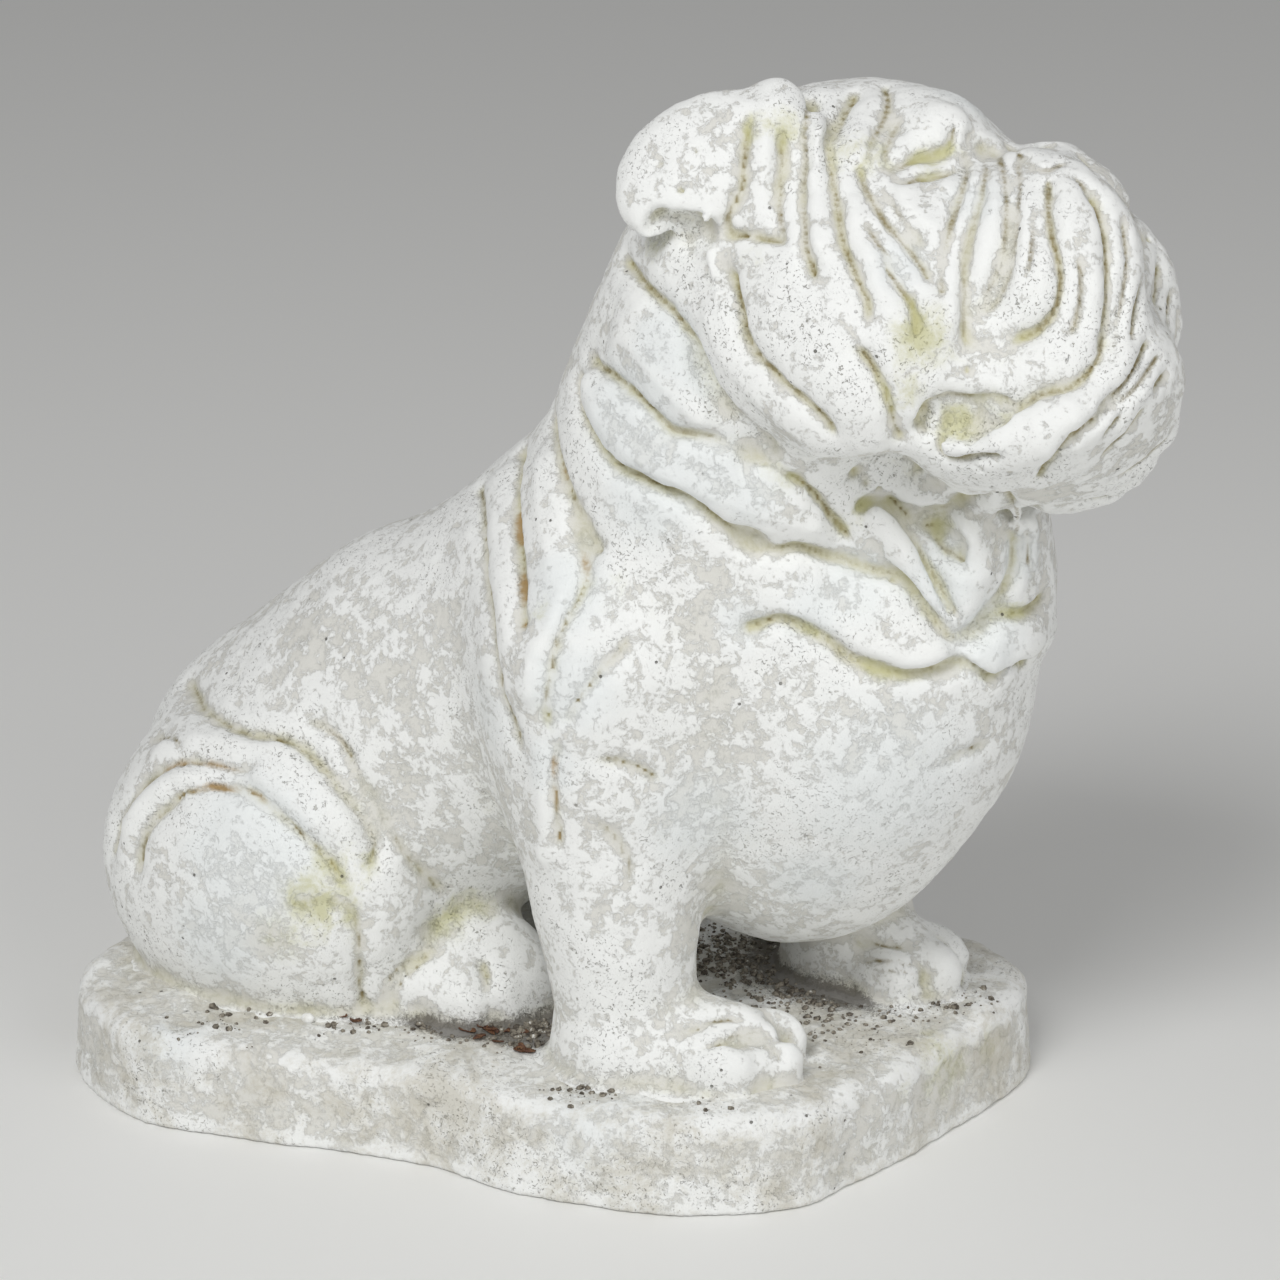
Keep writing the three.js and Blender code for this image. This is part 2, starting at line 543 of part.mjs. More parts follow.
// Rounds the figure into the plinth's top and ends it flat inside the plinth.
function root(clay) {
  const top = STAND_LEVEL - 1;
  const bottom = STAND_LEVEL - ROOT_DEPTH / UNIT;
  const fillet = FOOT_FILLET / UNIT;
  clay.work(CLAY_LOW, CLAY_HIGH, (x, y, z, d) => {
    const rounded = Math.max(softMin(d, z - top, fillet), d - fillet);
    return Math.max(rounded, bottom - z);
  });
}

const CORNERS = [[0, 0, 0], [1, 0, 0], [1, 1, 0], [0, 1, 0], [0, 0, 1], [1, 0, 1], [1, 1, 1], [0, 1, 1]];
const EDGES = [[0, 1], [1, 2], [2, 3], [3, 0], [4, 5], [5, 6], [6, 7], [7, 4], [0, 4], [1, 5], [2, 6], [3, 7]];

// The clay's surface as points and triangles, by marching cubes.
function skin(clay) {
  const points = [];
  const faces = [];
  const known = new Map();
  const value = (c) => clay.data[clay.index(...c)];
  function crossing(a, b) {
    const [low, high] = clay.index(...a) < clay.index(...b) ? [a, b] : [b, a];
    const key = clay.index(...low) * 4 + (high[0] - low[0]) * 2 + (high[1] - low[1]);
    if (!known.has(key)) {
      const crossed = value(low) / (value(low) - value(high));
      const share = THREE.MathUtils.clamp(crossed, CROSSING_LIMIT, 1 - CROSSING_LIMIT);
      known.set(key, points.length);
      points.push(low.map((c, i) => clay.low[i] + clay.cell * (c + share * (high[i] - c))));
    }
    return known.get(key);
  }
  for (let i = 0; i + 1 < clay.size[0]; i++) {
    for (let j = 0; j + 1 < clay.size[1]; j++) {
      for (let k = 0; k + 1 < clay.size[2]; k++) {
        const corners = CORNERS.map(([a, b, c]) => [i + a, j + b, k + c]);
        const code = corners.reduce((bits, c, n) => bits | ((value(c) < 0 ? 1 : 0) << n), 0);
        if (code === 0 || code === 255) continue;
        for (let n = code * 16; triTable[n] >= 0; n += 3) {
          const face = [2, 1, 0].map((m) => EDGES[triTable[n + m]].map((c) => corners[c]));
          faces.push(face.map(([a, b]) => crossing(a, b)));
        }
      }
    }
  }
  return { points, faces };
}

// The sum of squared distances to the planes around a point, as ten numbers.
function planeError([a, b, c]) {
  const normal = vec(b).sub(vec(a)).cross(vec(c).sub(vec(a)));
  const area = normal.length();
  normal.normalize();
  const { x, y, z } = normal;
  const w = -normal.dot(vec(a));
  return [x * x, x * y, x * z, x * w, y * y, y * z, y * w, z * z, z * w, w * w].map((q) => q * area);
}

function errorAt(q, [x, y, z]) {
  return q[0] * x * x + q[4] * y * y + q[7] * z * z + q[9]
    + 2 * (q[1] * x * y + q[2] * x * z + q[3] * x + q[5] * y * z + q[6] * y + q[8] * z);
}

// The place between two points that keeps nearest to the planes around both.
function bestPlace(q, a, b) {
  const middle = a.map((c, i) => (c + b[i]) / 2);
  const matrix = new THREE.Matrix3().set(q[0], q[1], q[2], q[1], q[4], q[5], q[2], q[5], q[7]);
  const size = q[0] + q[4] + q[7];
  const choices = [a, b, middle];
  if (matrix.determinant() > FLAT_LIMIT * size ** 3) {
    const solved = new THREE.Vector3(-q[3], -q[6], -q[8]).applyMatrix3(matrix.invert());
    if (solved.distanceTo(vec(middle)) < 2 * CELL) choices.push(solved.toArray());
  }
  return choices.reduce((best, c) => (errorAt(q, c) < errorAt(q, best) ? c : best), middle);
}

// A heap that gives back the cheapest item first.
class Heap {
  items = [];

  push(item) {
    let at = this.items.length;
    while (at > 0) {
      const parent = (at - 1) >> 1;
      if (this.items[parent].cost <= item.cost) break;
      this.items[at] = this.items[parent];
      at = parent;
    }
    this.items[at] = item;
  }

  pop() {
    const top = this.items[0];
    const last = this.items.pop();
    let at = 0;
    while (this.items.length && at < this.items.length) {
      let child = 2 * at + 1;
      if (child >= this.items.length) break;
      if (child + 1 < this.items.length && this.items[child + 1].cost < this.items[child].cost) child++;
      if (this.items[child].cost >= last.cost) break;
      this.items[at] = this.items[child];
      at = child;
    }
    if (this.items.length) this.items[at] = last;
    return top;
  }
}

// Joins neighbouring points where the shape changes least, until few enough triangles are left.
function thin({ points, faces }, target) {
  const around = points.map(() => new Set());
  const errors = points.map(() => new Array(10).fill(0));
  const version = points.map(() => 0);
  faces.forEach((face, f) => {
    const error = planeError(face.map((v) => points[v]));
    for (const v of face) {
      around[v].add(f);
      error.forEach((e, i) => (errors[v][i] += e));
    }
  });
  const heap = new Heap();
  const neighbours = (v) => new Set([...around[v]].flatMap((f) => faces[f]).filter((n) => n !== v));
  function offer(a, b) {
    const sum = errors[a].map((e, i) => e + errors[b][i]);
    const place = bestPlace(sum, points[a], points[b]);
    const length = vec(points[a]).distanceToSquared(vec(points[b]));
    const cost = errorAt(sum, place) + LENGTH_COST * length;
    heap.push({ cost, a, b, place, stamp: [version[a], version[b]] });
  }
  function turns(v, other, place) {
    for (const f of around[v]) {
      if (faces[f].includes(other)) continue;
      const before = faces[f].map((n) => vec(points[n]));
      const after = faces[f].map((n) => (n === v ? vec(place) : vec(points[n])));
      const [old, now] = [before, after].map(([a, b, c]) => b.clone().sub(a).cross(c.clone().sub(a)));
      const longest = Math.max(...after.map((p, i) => p.distanceToSquared(after[(i + 1) % 3])));
      if (old.dot(now) < TURN_LIMIT * old.length() * now.length()) return true;
      if (now.length() < SLIVER_LIMIT * longest) return true;
    }
    return false;
  }
  points.forEach((p, a) => neighbours(a).forEach((b) => a < b && offer(a, b)));
  let left = faces.length;
  while (left > target && heap.items.length) {
    const { a, b, place, stamp } = heap.pop();
    if (version[a] !== stamp[0] || version[b] !== stamp[1]) continue;
    const shared = [...neighbours(a)].filter((n) => neighbours(b).has(n));
    if (shared.length !== 2 || turns(a, b, place) || turns(b, a, place)) continue;
    for (const f of around[b]) {
      if (faces[f].includes(a)) {
        faces[f].forEach((v) => v !== b && around[v].delete(f));
        faces[f] = [];
        left--;
      } else {
        faces[f] = faces[f].map((v) => (v === b ? a : v));
        around[a].add(f);
      }
    }
    around[b].clear();
    points[a] = place;
    errors[b].forEach((e, i) => (errors[a][i] += e));
    version[a]++;
    version[b] = -1;
    neighbours(a).forEach((n) => offer(a, n));
  }
  return { points, faces: faces.filter((face) => face.length) };
}

function figure() {
  const clay = new Clay(CLAY_LOW, CLAY_HIGH, CELL);
  trunk(clay);
  hindLegs(clay);
  frontLegs(clay);
  head(clay);
  carve(clay, BODY_RIDGES, acrossBody);
  carve(clay, HEAD_RIDGES, acrossHead);
  hollows(clay);
  carve(clay, HAUNCH_LINES, acrossBody);
  carve(clay, SIDE_LINES, acrossBody);
  carve(clay, NECK_LINES);
  carve(clay, FACE_LINES, acrossHead);
  carve(clay, LIP_LINES, acrossHead);
  carve(clay, FOOT_LINES);
  root(clay);
  const { points, faces } = thin(skin(clay), FIGURE_TRIANGLES);
  const geometry = new THREE.BufferGeometry();
  geometry.setAttribute("position", new THREE.Float32BufferAttribute(points.flat(), 3));
  geometry.setIndex(faces.flat());
  geometry.scale(UNIT, UNIT, UNIT);
  geometry.translate(0, 0, PLINTH_HEIGHT - STAND_LEVEL * UNIT);
  return geometry;
}

// The line that the plinth's wall follows, PLINTH_MARGIN inside it, in units of the figure.
const STANDING_LINE = [
  [-175, 93], [-178, 20], [-177, -60], [-173, -96], [-153, -120], [-114, -135], [-70, -127], [-17, -111],
  [15, -105], [49, -105], [91, -96], [120, -83], [144, -62], [153, -38], [160, -9], [166, 38], [169, 68],
  [166, 91], [151, 110], [111, 121], [60, 119], [0, 115], [-61, 121], [-120, 129], [-156, 120],
];
const PLINTH_SIDES = 72;
const PLINTH_LEAN = 3; // how much further out the wall stands at the foot
const PLINTH_HALF = 160; // about half the plinth's length, in units
const GROUND_WIDTH = 600; // of the block that cuts the plinth flat, in units

// The standing line as a smooth closed curve, moved outwards.
function plinthOutline(outwards) {
  const curve = new THREE.CatmullRomCurve3(
    STANDING_LINE.map(([x, y]) => new THREE.Vector3(x * UNIT, y * UNIT, 0)),
    true,
  );
  const shape = new THREE.Shape();
  for (let n = 0; n < PLINTH_SIDES; n++) {
    const point = curve.getPointAt(n / PLINTH_SIDES);
    const along = curve.getTangentAt(n / PLINTH_SIDES);
    const place = [point.x + along.y * outwards, point.y - along.x * outwards];
    if (n === 0) shape.moveTo(...place);
    else shape.lineTo(...place);
  }
  return shape;
}

// The plinth has an upright wall, a rounded upper edge and a sharp lower one, cut flat at the ground.
function plinth() {
  const block = new THREE.ExtrudeGeometry(plinthOutline(PLINTH_MARGIN - PLINTH_EDGE), {
    depth: PLINTH_HEIGHT - PLINTH_EDGE,
    bevelThickness: PLINTH_EDGE,
    bevelSize: PLINTH_EDGE,
    bevelSegments: 3,
    curveSegments: 1,
  });
  const place = block.getAttribute("position");
  for (let n = 0; n < place.count; n++) {
    const out = 1 + (PLINTH_LEAN / (PLINTH_HALF * UNIT)) * (1 - place.getZ(n) / PLINTH_HEIGHT);
    place.setXY(n, place.getX(n) * out, place.getY(n) * out);
  }
  const ground = new THREE.BoxGeometry(GROUND_WIDTH * UNIT, GROUND_WIDTH * UNIT, 2 * PLINTH_EDGE);
  ground.translate(0, 0, -PLINTH_EDGE);
  return solid(block).subtract(solid(ground));
}

const wasm = await Module();
wasm.setup();

// A closed mesh as a solid, and back.
function solid(geometry) {
  const bare = new THREE.BufferGeometry().setAttribute("position", geometry.getAttribute("position"));
  if (geometry.index) bare.setIndex(geometry.index);
  const merged = mergeVertices(bare, WELD);
  return new wasm.Manifold(
    new wasm.Mesh({
      numProp: 3,
      vertProperties: new Float32Array(merged.getAttribute("position").array),
      triVerts: new Uint32Array(merged.index.array),
    }),
  );
}

function geometryOf(shape) {
  const mesh = shape.getMesh();
  const geometry = new THREE.BufferGeometry();
  geometry.setAttribute("position", new THREE.BufferAttribute(new Float32Array(mesh.vertProperties), 3));
  geometry.setIndex(new THREE.BufferAttribute(new Uint32Array(mesh.triVerts), 1));
  geometry.computeVertexNormals();
  return geometry;
}

const castStone = new THREE.MeshStandardMaterial({ color: 0xcfccc0, roughness: 0.92, metalness: 0 });
const statue = new THREE.Mesh(geometryOf(plinth().add(solid(figure()))), castStone);
statue.name = "bulldog_statue";

const part = new THREE.Group();
part.add(statue);

export default part;
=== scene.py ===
import math

import bmesh
import bpy
import numpy as np
from bpy.props import FloatProperty, FloatVectorProperty, IntProperty, PointerProperty
from bpy.types import Operator, Panel, PropertyGroup
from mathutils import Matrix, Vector


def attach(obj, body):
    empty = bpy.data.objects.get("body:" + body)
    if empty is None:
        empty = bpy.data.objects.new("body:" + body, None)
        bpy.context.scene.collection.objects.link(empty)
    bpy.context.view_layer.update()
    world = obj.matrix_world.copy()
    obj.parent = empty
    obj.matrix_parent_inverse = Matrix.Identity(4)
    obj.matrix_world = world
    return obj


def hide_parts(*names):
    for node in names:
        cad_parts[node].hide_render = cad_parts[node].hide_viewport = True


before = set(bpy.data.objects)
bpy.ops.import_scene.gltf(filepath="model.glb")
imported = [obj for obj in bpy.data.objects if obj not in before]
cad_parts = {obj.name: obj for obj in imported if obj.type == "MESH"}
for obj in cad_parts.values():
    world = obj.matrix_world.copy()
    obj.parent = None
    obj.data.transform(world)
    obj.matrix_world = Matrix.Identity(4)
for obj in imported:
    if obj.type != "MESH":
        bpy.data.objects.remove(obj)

bl_info = {
    "name": "Bulldog Garden Statue",
    "version": (1, 0, 0),
    "blender": (4, 5, 0),
    "location": "View3D > Sidebar > Statue",
    "description": "Carves a weathered cast stone bulldog and its plinth",
    "category": "Object",
}

NODE = "bulldog_statue"
MM = 0.001

# The figure is drawn in millimetres at its modelled height, standing at level 40.
STAND_LEVEL = 40
ROOT_DEPTH = 9
FOOT_FILLET = 9
MIDLINE = 12
FAR = 60

# The carving is drawn on a plane square to the camera's line of sight.
SIGHT_TARGET = (45, -10, 200)
SIGHT_DISTANCE = 1500
SIGHT_AZIMUTH = 32
SIGHT_ELEVATION = 20
SIGHT_LENS = 105.47
SENSOR_WIDTH = 36

# The head is carved finer than the body; the two meet inside a round seam.
HEAD_CENTRE = (150, 12, 362)
HEAD_REACH = 124
SEAM = 5
SEAM_SINK = 1.5

SIDES = (-1, 1)
WORLD_LOW = (-240, -160, -10)
WORLD_HIGH = (300, 180, 460)

# How masses, lines of sight and the surface's grain are worked into the clay.
MASS_BAND = 28
SIGHT_REACH = 400
SIGHT_STEP = 3.0
SNAP_TIMES = 6
SNAP_SHARE = 0.9
GRAIN_BAND = 12

# A carved line has a narrow core and a wide skirt, each with its share of the depth and its share of the
# width. It reaches LINE_REACH widths, fades over LINE_FADE at its ends and runs LINE_TAIL past them.
LINE_CORE = (0.42, 0.5)
LINE_SKIRT = (0.58, 1.9)
LINE_REACH = 4.6
LINE_FADE = 13
LINE_TAIL = 6
LINE_SINK = 0.8
# CREASE_WIDTH is the width of the dark line of painted shade and dirt along a carved line's floor.
CREASE_WIDTH = 1.4

# A line is cast on the clay in steps, parted where it jumps in depth, and left out below SHORTEST_RUN points.
RUN_STEP = 4
CASTING_JUMP = 22
SHORTEST_RUN = 4

# No line is narrower than this share of the clay's cell.
FINEST_LINE = 0.8

# An air hole is sunk by a share of its radius.
HOLE_SINK = 0.4
HOLE_BLEND = 0.6

# How far round a point the clay's fullness tells a fold.
FOLD_REACH = 3


def turn(yaw, pitch, roll):
    """A turned set of axes: yaw to the left, pitch up, roll to the left, in degrees."""
    y, p, r = np.radians([yaw, pitch, roll])
    about_z = np.array([[np.cos(y), -np.sin(y), 0], [np.sin(y), np.cos(y), 0], [0, 0, 1]])
    about_y = np.array([[np.cos(p), 0, -np.sin(p)], [0, 1, 0], [np.sin(p), 0, np.cos(p)]])
    about_x = np.array([[1, 0, 0], [0, np.cos(r), -np.sin(r)], [0, np.sin(r), np.cos(r)]])
    return about_z @ about_y @ about_x


class Frame:
    """A place and a turn that points can be given in."""

    def __init__(self, origin, angles):
        self.origin = np.array(origin, float)
        self.axes = turn(*angles)

    def out(self, points):
        return np.asarray(points, float) @ self.axes.T + self.origin

    def into(self, points):
        return (np.asarray(points, float) - self.origin) @ self.axes


BODY = Frame((0, 0, 0), (0, 0, 0))
HEAD = Frame((145, 15, 366), (18, 20, -30))


def sight_axes():
    a, e = math.radians(SIGHT_AZIMUTH), math.radians(SIGHT_ELEVATION)
    back = np.array([math.sin(a) * math.cos(e), -math.cos(a) * math.cos(e), math.sin(e)])
    right = np.array([math.cos(a), math.sin(a), 0])
    return back, right, np.cross(back, right)


BACK, RIGHT, UP = sight_axes()
EYE = np.array(SIGHT_TARGET) + BACK * SIGHT_DISTANCE


def soft_min(a, b, blend):
    if blend <= 0:
        return np.minimum(a, b)
    h = np.maximum(blend - np.abs(a - b), 0) / blend
    return np.minimum(a, b) - h * h * blend / 4


def soft_max(a, b, blend):
    return -soft_min(-a, -b, blend)


def to_segment(points, a, b):
    """Distance from points to a segment, and how far along it the nearest place is."""
    a = a.astype(np.float32)
    along = (b - a).astype(np.float32)
    share = np.clip(((points - a) @ along) / float(along @ along), 0, 1)
    return np.sqrt(((points - a - share[..., None] * along) ** 2).sum(-1)), share


class Clay:
    """A grid of distances to the surface, in millimetres, negative inside."""

    def __init__(self, low, high, cell):
        self.cell = cell
        self.low = np.array(low, float)
        self.size = np.ceil((np.array(high) - self.low) / cell).astype(int) + 1
        self.axes = [self.low[i] + cell * np.arange(self.size[i]) for i in range(3)]
        self.data = np.full(self.size, FAR, np.float32)
        self.crease = np.zeros(self.size, np.float32)

    def region(self, low, high):
        first = np.maximum(np.floor((np.array(low) - self.low) / self.cell).astype(int), 0)
        last = np.minimum(np.ceil((np.array(high) - self.low) / self.cell).astype(int) + 1, self.size)
        if (last <= first).any():
            return None, None
        part = tuple(slice(first[i], last[i]) for i in range(3))
        grid = np.meshgrid(*[self.axes[i][part[i]] for i in range(3)], indexing="ij")
        return part, np.stack(grid, -1).astype(np.float32)

    def merge(self, part, distance, blend, away):
        if away:
            self.data[part] = soft_max(self.data[part], -distance, blend)
        else:
            self.data[part] = soft_min(self.data[part], distance, blend)

    def ball(self, centre, radii, angles, blend, place=BODY, away=False):
        """An ellipsoid, added with a soft seam or taken away."""
        centre = place.out(centre)
        axes = place.axes @ turn(*angles)
        radii = np.array(radii, float)
        reach = np.sqrt(((axes * radii) ** 2).sum(1)) + MASS_BAND + blend
        part, points = self.region(centre - reach, centre + reach)
        if part is None:
            return
        local = (points - centre.astype(np.float32)) @ axes.astype(np.float32)
        near = np.sqrt(((local / radii) ** 2).sum(-1))
        steep = np.sqrt(((local / radii ** 2) ** 2).sum(-1)) + 1e-9
        self.merge(part, (near * (near - 1) / steep).astype(np.float32), blend, away)

    def limb(self, spine, blend, place=BODY, away=False):
        """A round limb through points (x, y, z, radius), added or taken away."""
        spine = np.array(spine, float)
        centres = place.out(spine[:, :3])
        radii = spine[:, 3]
        reach = radii.max() + MASS_BAND + blend
        part, points = self.region(centres.min(0) - reach, centres.max(0) + reach)
        if part is None:
            return
        distance = np.full(points.shape[:3], FAR, np.float32)
        for i in range(len(centres) - 1):
            gap, share = to_segment(points, centres[i], centres[i + 1])
            distance = np.minimum(distance, gap - radii[i] - (radii[i + 1] - radii[i]) * share)
        self.merge(part, distance.astype(np.float32), blend, away)

    def sample(self, points, data=None):
        """Distances, or another grid's values, at points between the grid's."""
        data = self.data if data is None else data
        where = (np.asarray(points, float) - self.low) / self.cell
        base = np.clip(np.floor(where).astype(int), 0, self.size - 2)
        share = np.clip(where - base, 0, 1)
        value = 0
        for n in range(8):
            step = np.array([n & 1, (n >> 1) & 1, n >> 2])
            weight = np.prod(np.where(step, share, 1 - share), axis=-1)
            at = base + step
            value = value + weight * data[at[..., 0], at[..., 1], at[..., 2]]
        return value

    def outward(self, points):
        """The direction out of the clay at points."""
        points = np.asarray(points, float)
        slope = np.zeros_like(points)
        for axis in range(3):
            step = np.zeros(3)
            step[axis] = self.cell
            slope[..., axis] = self.sample(points + step) - self.sample(points - step)
        return slope / (np.linalg.norm(slope, axis=-1, keepdims=True) + 1e-9)

    def snap(self, points):
        """Points moved onto the surface."""
        points = np.array(points, float)
        for _ in range(SNAP_TIMES):
            points = points - SNAP_SHARE * self.outward(points) * self.sample(points)[..., None]
        return points

    def sight(self, drawn):
        """Where lines of sight through points (u, v) of the drawing plane first meet the clay."""
        drawn = np.atleast_2d(np.array(drawn, float))
        aim = np.array(SIGHT_TARGET) + drawn[:, :1] * RIGHT + drawn[:, 1:] * UP - EYE
        aim /= np.linalg.norm(aim, axis=1, keepdims=True)
        reach = np.arange(SIGHT_DISTANCE - SIGHT_REACH, SIGHT_DISTANCE + SIGHT_REACH, SIGHT_STEP)
        values = self.sample(EYE + aim[:, None, :] * reach[None, :, None])
        hit = (values < 0).any(1)
        first = np.maximum(np.argmax(values < 0, axis=1), 1)
        rows = np.arange(len(drawn))
        before, after = values[rows, first - 1], values[rows, first]
        run = reach[first - 1] + SIGHT_STEP * np.clip(before / (before - after + 1e-9), 0, 1)
        return EYE + aim * run[:, None], hit

    def line(self, path, width, depth):
        """A carved line, or with a negative depth a raised one, that fades out at its ends."""
        reach = LINE_REACH * width
        part, points = self.region(path.min(0) - reach, path.max(0) + reach)
        if part is None:
            return
        least, place, length = self.follow(path, points, reach)
        fade = ramp(np.minimum(place, length - place), 0, LINE_FADE)
        off = least / width
        core, core_width = LINE_CORE
        skirt, skirt_width = LINE_SKIRT
        cut = core * np.exp(-off / core_width) + skirt * np.exp(-((off / skirt_width) ** 2))
        self.data[part] += (depth * fade * cut).astype(np.float32)
        if depth > 0:
            # marks the line's floor, where the material lays a dark line of painted shade and dirt
            mark = fade * np.exp(-((least / CREASE_WIDTH) ** 2))
            self.crease[part] = np.maximum(self.crease[part], mark)

    def follow(self, path, points, reach):
        """How far points within reach are from a path, how far along it they are, and its length."""
        steps = np.linalg.norm(np.diff(path, axis=0), axis=1)
        run = np.concatenate([[0], np.cumsum(steps)])
        least = np.full(points.shape[:3], 1e6, np.float32)
        place = np.zeros(points.shape[:3], np.float32)
        corner = points[0, 0, 0]
        for i in range(len(path) - 1):
            low = np.minimum(path[i], path[i + 1]) - reach
            high = np.maximum(path[i], path[i + 1]) + reach
            first = np.maximum(np.floor((low - corner) / self.cell).astype(int), 0)
            last = np.maximum(np.ceil((high - corner) / self.cell).astype(int) + 1, 0)
            some = tuple(slice(first[n], last[n]) for n in range(3))
            gap, share = to_segment(points[some], path[i], path[i + 1])
            nearer = gap < least[some]
            least[some] = np.where(nearer, gap, least[some])
            place[some] = np.where(nearer, run[i] + (run[i + 1] - run[i]) * share, place[some])
        return least, place, run[-1]

    def roughen(self, seed, wave, amount):
        """Lets the surface wander by amount over the given wavelength."""
        count = np.ceil((np.array(WORLD_HIGH) - WORLD_LOW) / wave).astype(int) + 3
        value = np.random.default_rng(seed).uniform(-1, 1, count).astype(np.float32)
        for axis in range(3):
            at = (self.axes[axis] - WORLD_LOW[axis]) / wave
            base = np.floor(at).astype(int)
            share = at - base
            share = share * share * (3 - 2 * share)
            share = share.reshape([-1 if n == axis else 1 for n in range(3)])
            value = np.take(value, base, axis) * (1 - share) + np.take(value, base + 1, axis) * share
        near = np.clip(1 - np.abs(self.data) / GRAIN_BAND, 0, 1)
        self.data += (amount * value * near).astype(np.float32)

    def skin(self):
        """The surface as points and four-sided faces, by surface nets."""
        cells = self.size - 1
        total = np.zeros((int(np.prod(cells)), 3))
        hits = np.zeros(len(total))
        faces = []
        for axis, one, two in ((0, 1, 2), (1, 2, 0), (2, 0, 1)):
            at, crossing, turned = self.crossings(axis, (one, two))
            ring = []
            for back_one, back_two in ((1, 1), (0, 1), (0, 0), (1, 0)):
                cell = at.copy()
                cell[:, one] -= back_one
                cell[:, two] -= back_two
                name = (cell[:, 0] * cells[1] + cell[:, 1]) * cells[2] + cell[:, 2]
                ring.append(name)
                hits += np.bincount(name, minlength=len(total))
                for n in range(3):
                    total[:, n] += np.bincount(name, weights=crossing[:, n], minlength=len(total))
            ring = np.stack(ring, 1)
            ring[turned] = ring[turned][:, ::-1]
            faces.append(ring)
        faces = np.concatenate(faces)
        used, named = np.unique(faces, return_inverse=True)
        points = total[used] / hits[used][:, None] * self.cell + self.low
        return points, named.reshape(-1, 4)

    def crossings(self, axis, others):
        """Grid points before a crossing of the surface along axis, the crossings, and which lead in."""
        inside = self.data < 0
        ahead = [slice(None)] * 3
        behind = [slice(None)] * 3
        ahead[axis] = slice(1, None)
        behind[axis] = slice(0, -1)
        at = np.argwhere(inside[tuple(behind)] != inside[tuple(ahead)])
        for other in others:
            at = at[(at[:, other] > 0) & (at[:, other] < self.size[other] - 1)]
        beyond = at.copy()
        beyond[:, axis] += 1
        here, there = self.data[tuple(at.T)], self.data[tuple(beyond.T)]
        crossing = at.astype(float)
        crossing[:, axis] += here / (here - there)
        return at, crossing, ~inside[tuple(at.T)]


def trunk(clay):
    clay.ball((-112, 0, 106), (90, 83, 76), (0, 14, 0), 0)
    clay.ball((-56, 4, 144), (84, 77, 84), (0, 28, 0), 30)
    clay.ball((18, 14, 186), (80, 80, 88), (0, 30, 0), 30)
    clay.ball((98, 30, 190), (95, 84, 98), (0, 0, 0), 30)  # chest
    clay.ball((90, 32, 130), (66, 58, 62), (0, 0, 0), 24)  # brisket
    clay.ball((50, -34, 186), (54, 42, 70), (0, 10, 0), 20)  # right shoulder
    clay.ball((94, 82, 190), (50, 38, 66), (0, 10, 0), 20)  # left shoulder
    clay.limb([(60, 12, 232, 78), (82, 10, 288, 75), (102, 10, 335, 74)], 30)  # neck
    clay.limb([(150, 26, 304, 34), (152, 32, 268, 46), (150, 34, 240, 50)], 24)  # dewlap
    clay.limb([(-184, 2, 98, 15), (-194, 6, 82, 10)], 8)  # stub of the tail


def hind_legs(clay):
    clay.ball((-106, -62, 86), (80, 50, 70), (0, 12, 0), 16)
    clay.ball((-106, 72, 86), (80, 46, 70), (0, 12, 0), 16)
    for side in SIDES:
        clay.limb([(-62, MIDLINE + side * 76, 52, 24), (-22, MIDLINE + side * 63, 48, 18)], 8)
        for ahead, across in ((-12, 74), (-5, 62), (-6, 49)):
            clay.ball((ahead, MIDLINE + side * across, 47), (14, 8, 11), (0, 0, 0), 5)


def toes(clay, places, lift):
    for x, y, radius in places:
        clay.ball((x, y, 49), (radius * 1.25, radius * 0.8, radius), (lift, 0, 0), 4)


def front_legs(clay):
    upper = [(50, -48, 205, 46), (54, -50, 140, 37), (60, -50, 92, 32)]
    clay.limb(upper + [(63, -50, 62, 28), (64, -52, 46, 30)], 18)
    clay.limb([(92, 84, 205, 44), (92, 82, 130, 36), (92, 78, 80, 29), (96, 74, 50, 27)], 20)
    clay.limb([(70, -52, 44, 28), (108, -44, 46, 22)], 8)
    toes(clay, [(112, -60, 12.5), (122, -43, 14), (116, -26, 12.5)], 15)
    clay.limb([(98, 72, 46, 26), (122, 68, 46, 22)], 8)
    toes(clay, [(130, 52, 12), (138, 66, 13), (134, 82, 12)], 0)


def head(clay):
    def add(centre, radii, pitch, blend):
        clay.ball(centre, radii, (0, pitch, 0), blend, HEAD)

    add((-16, 0, 10), (70, 66, 60), 0, 26)  # skull
    for side in SIDES:
        add((-8, side * 44, -32), (50, 32, 54), 8, 20)  # cheek
        add((55, side * 26, -29), (40, 34, 46), 16, 16)  # flew
        add((40, side * 26, -76), (46, 26, 28), 0, 12)  # jaw
        add((26, side * 26, 26), (22, 20, 20), 0, 12)  # brow
        add((34, side * 42, 25), (12, 9, 12), 0, 5)  # eye
        ear(clay, side)
    add((52, 0, -4), (36, 26, 27), 0, 14)  # roll above the nose
    add((46, 0, -74), (50, 42, 31), 8, 14)  # lower jaw
    add((62, 0, 11), (15, 17, 12), 30, 8)  # nose


def ear(clay, side):
    clay.ball((-48, side * 67, 30), (36, 13, 27), (-8 * side, 14, 0), 6, HEAD)
    clay.limb([(-20, side * 60, 47.5, 10.5), (-8, side * 62, 30, 9), (-6, side * 62, 6, 6)], 6, HEAD)


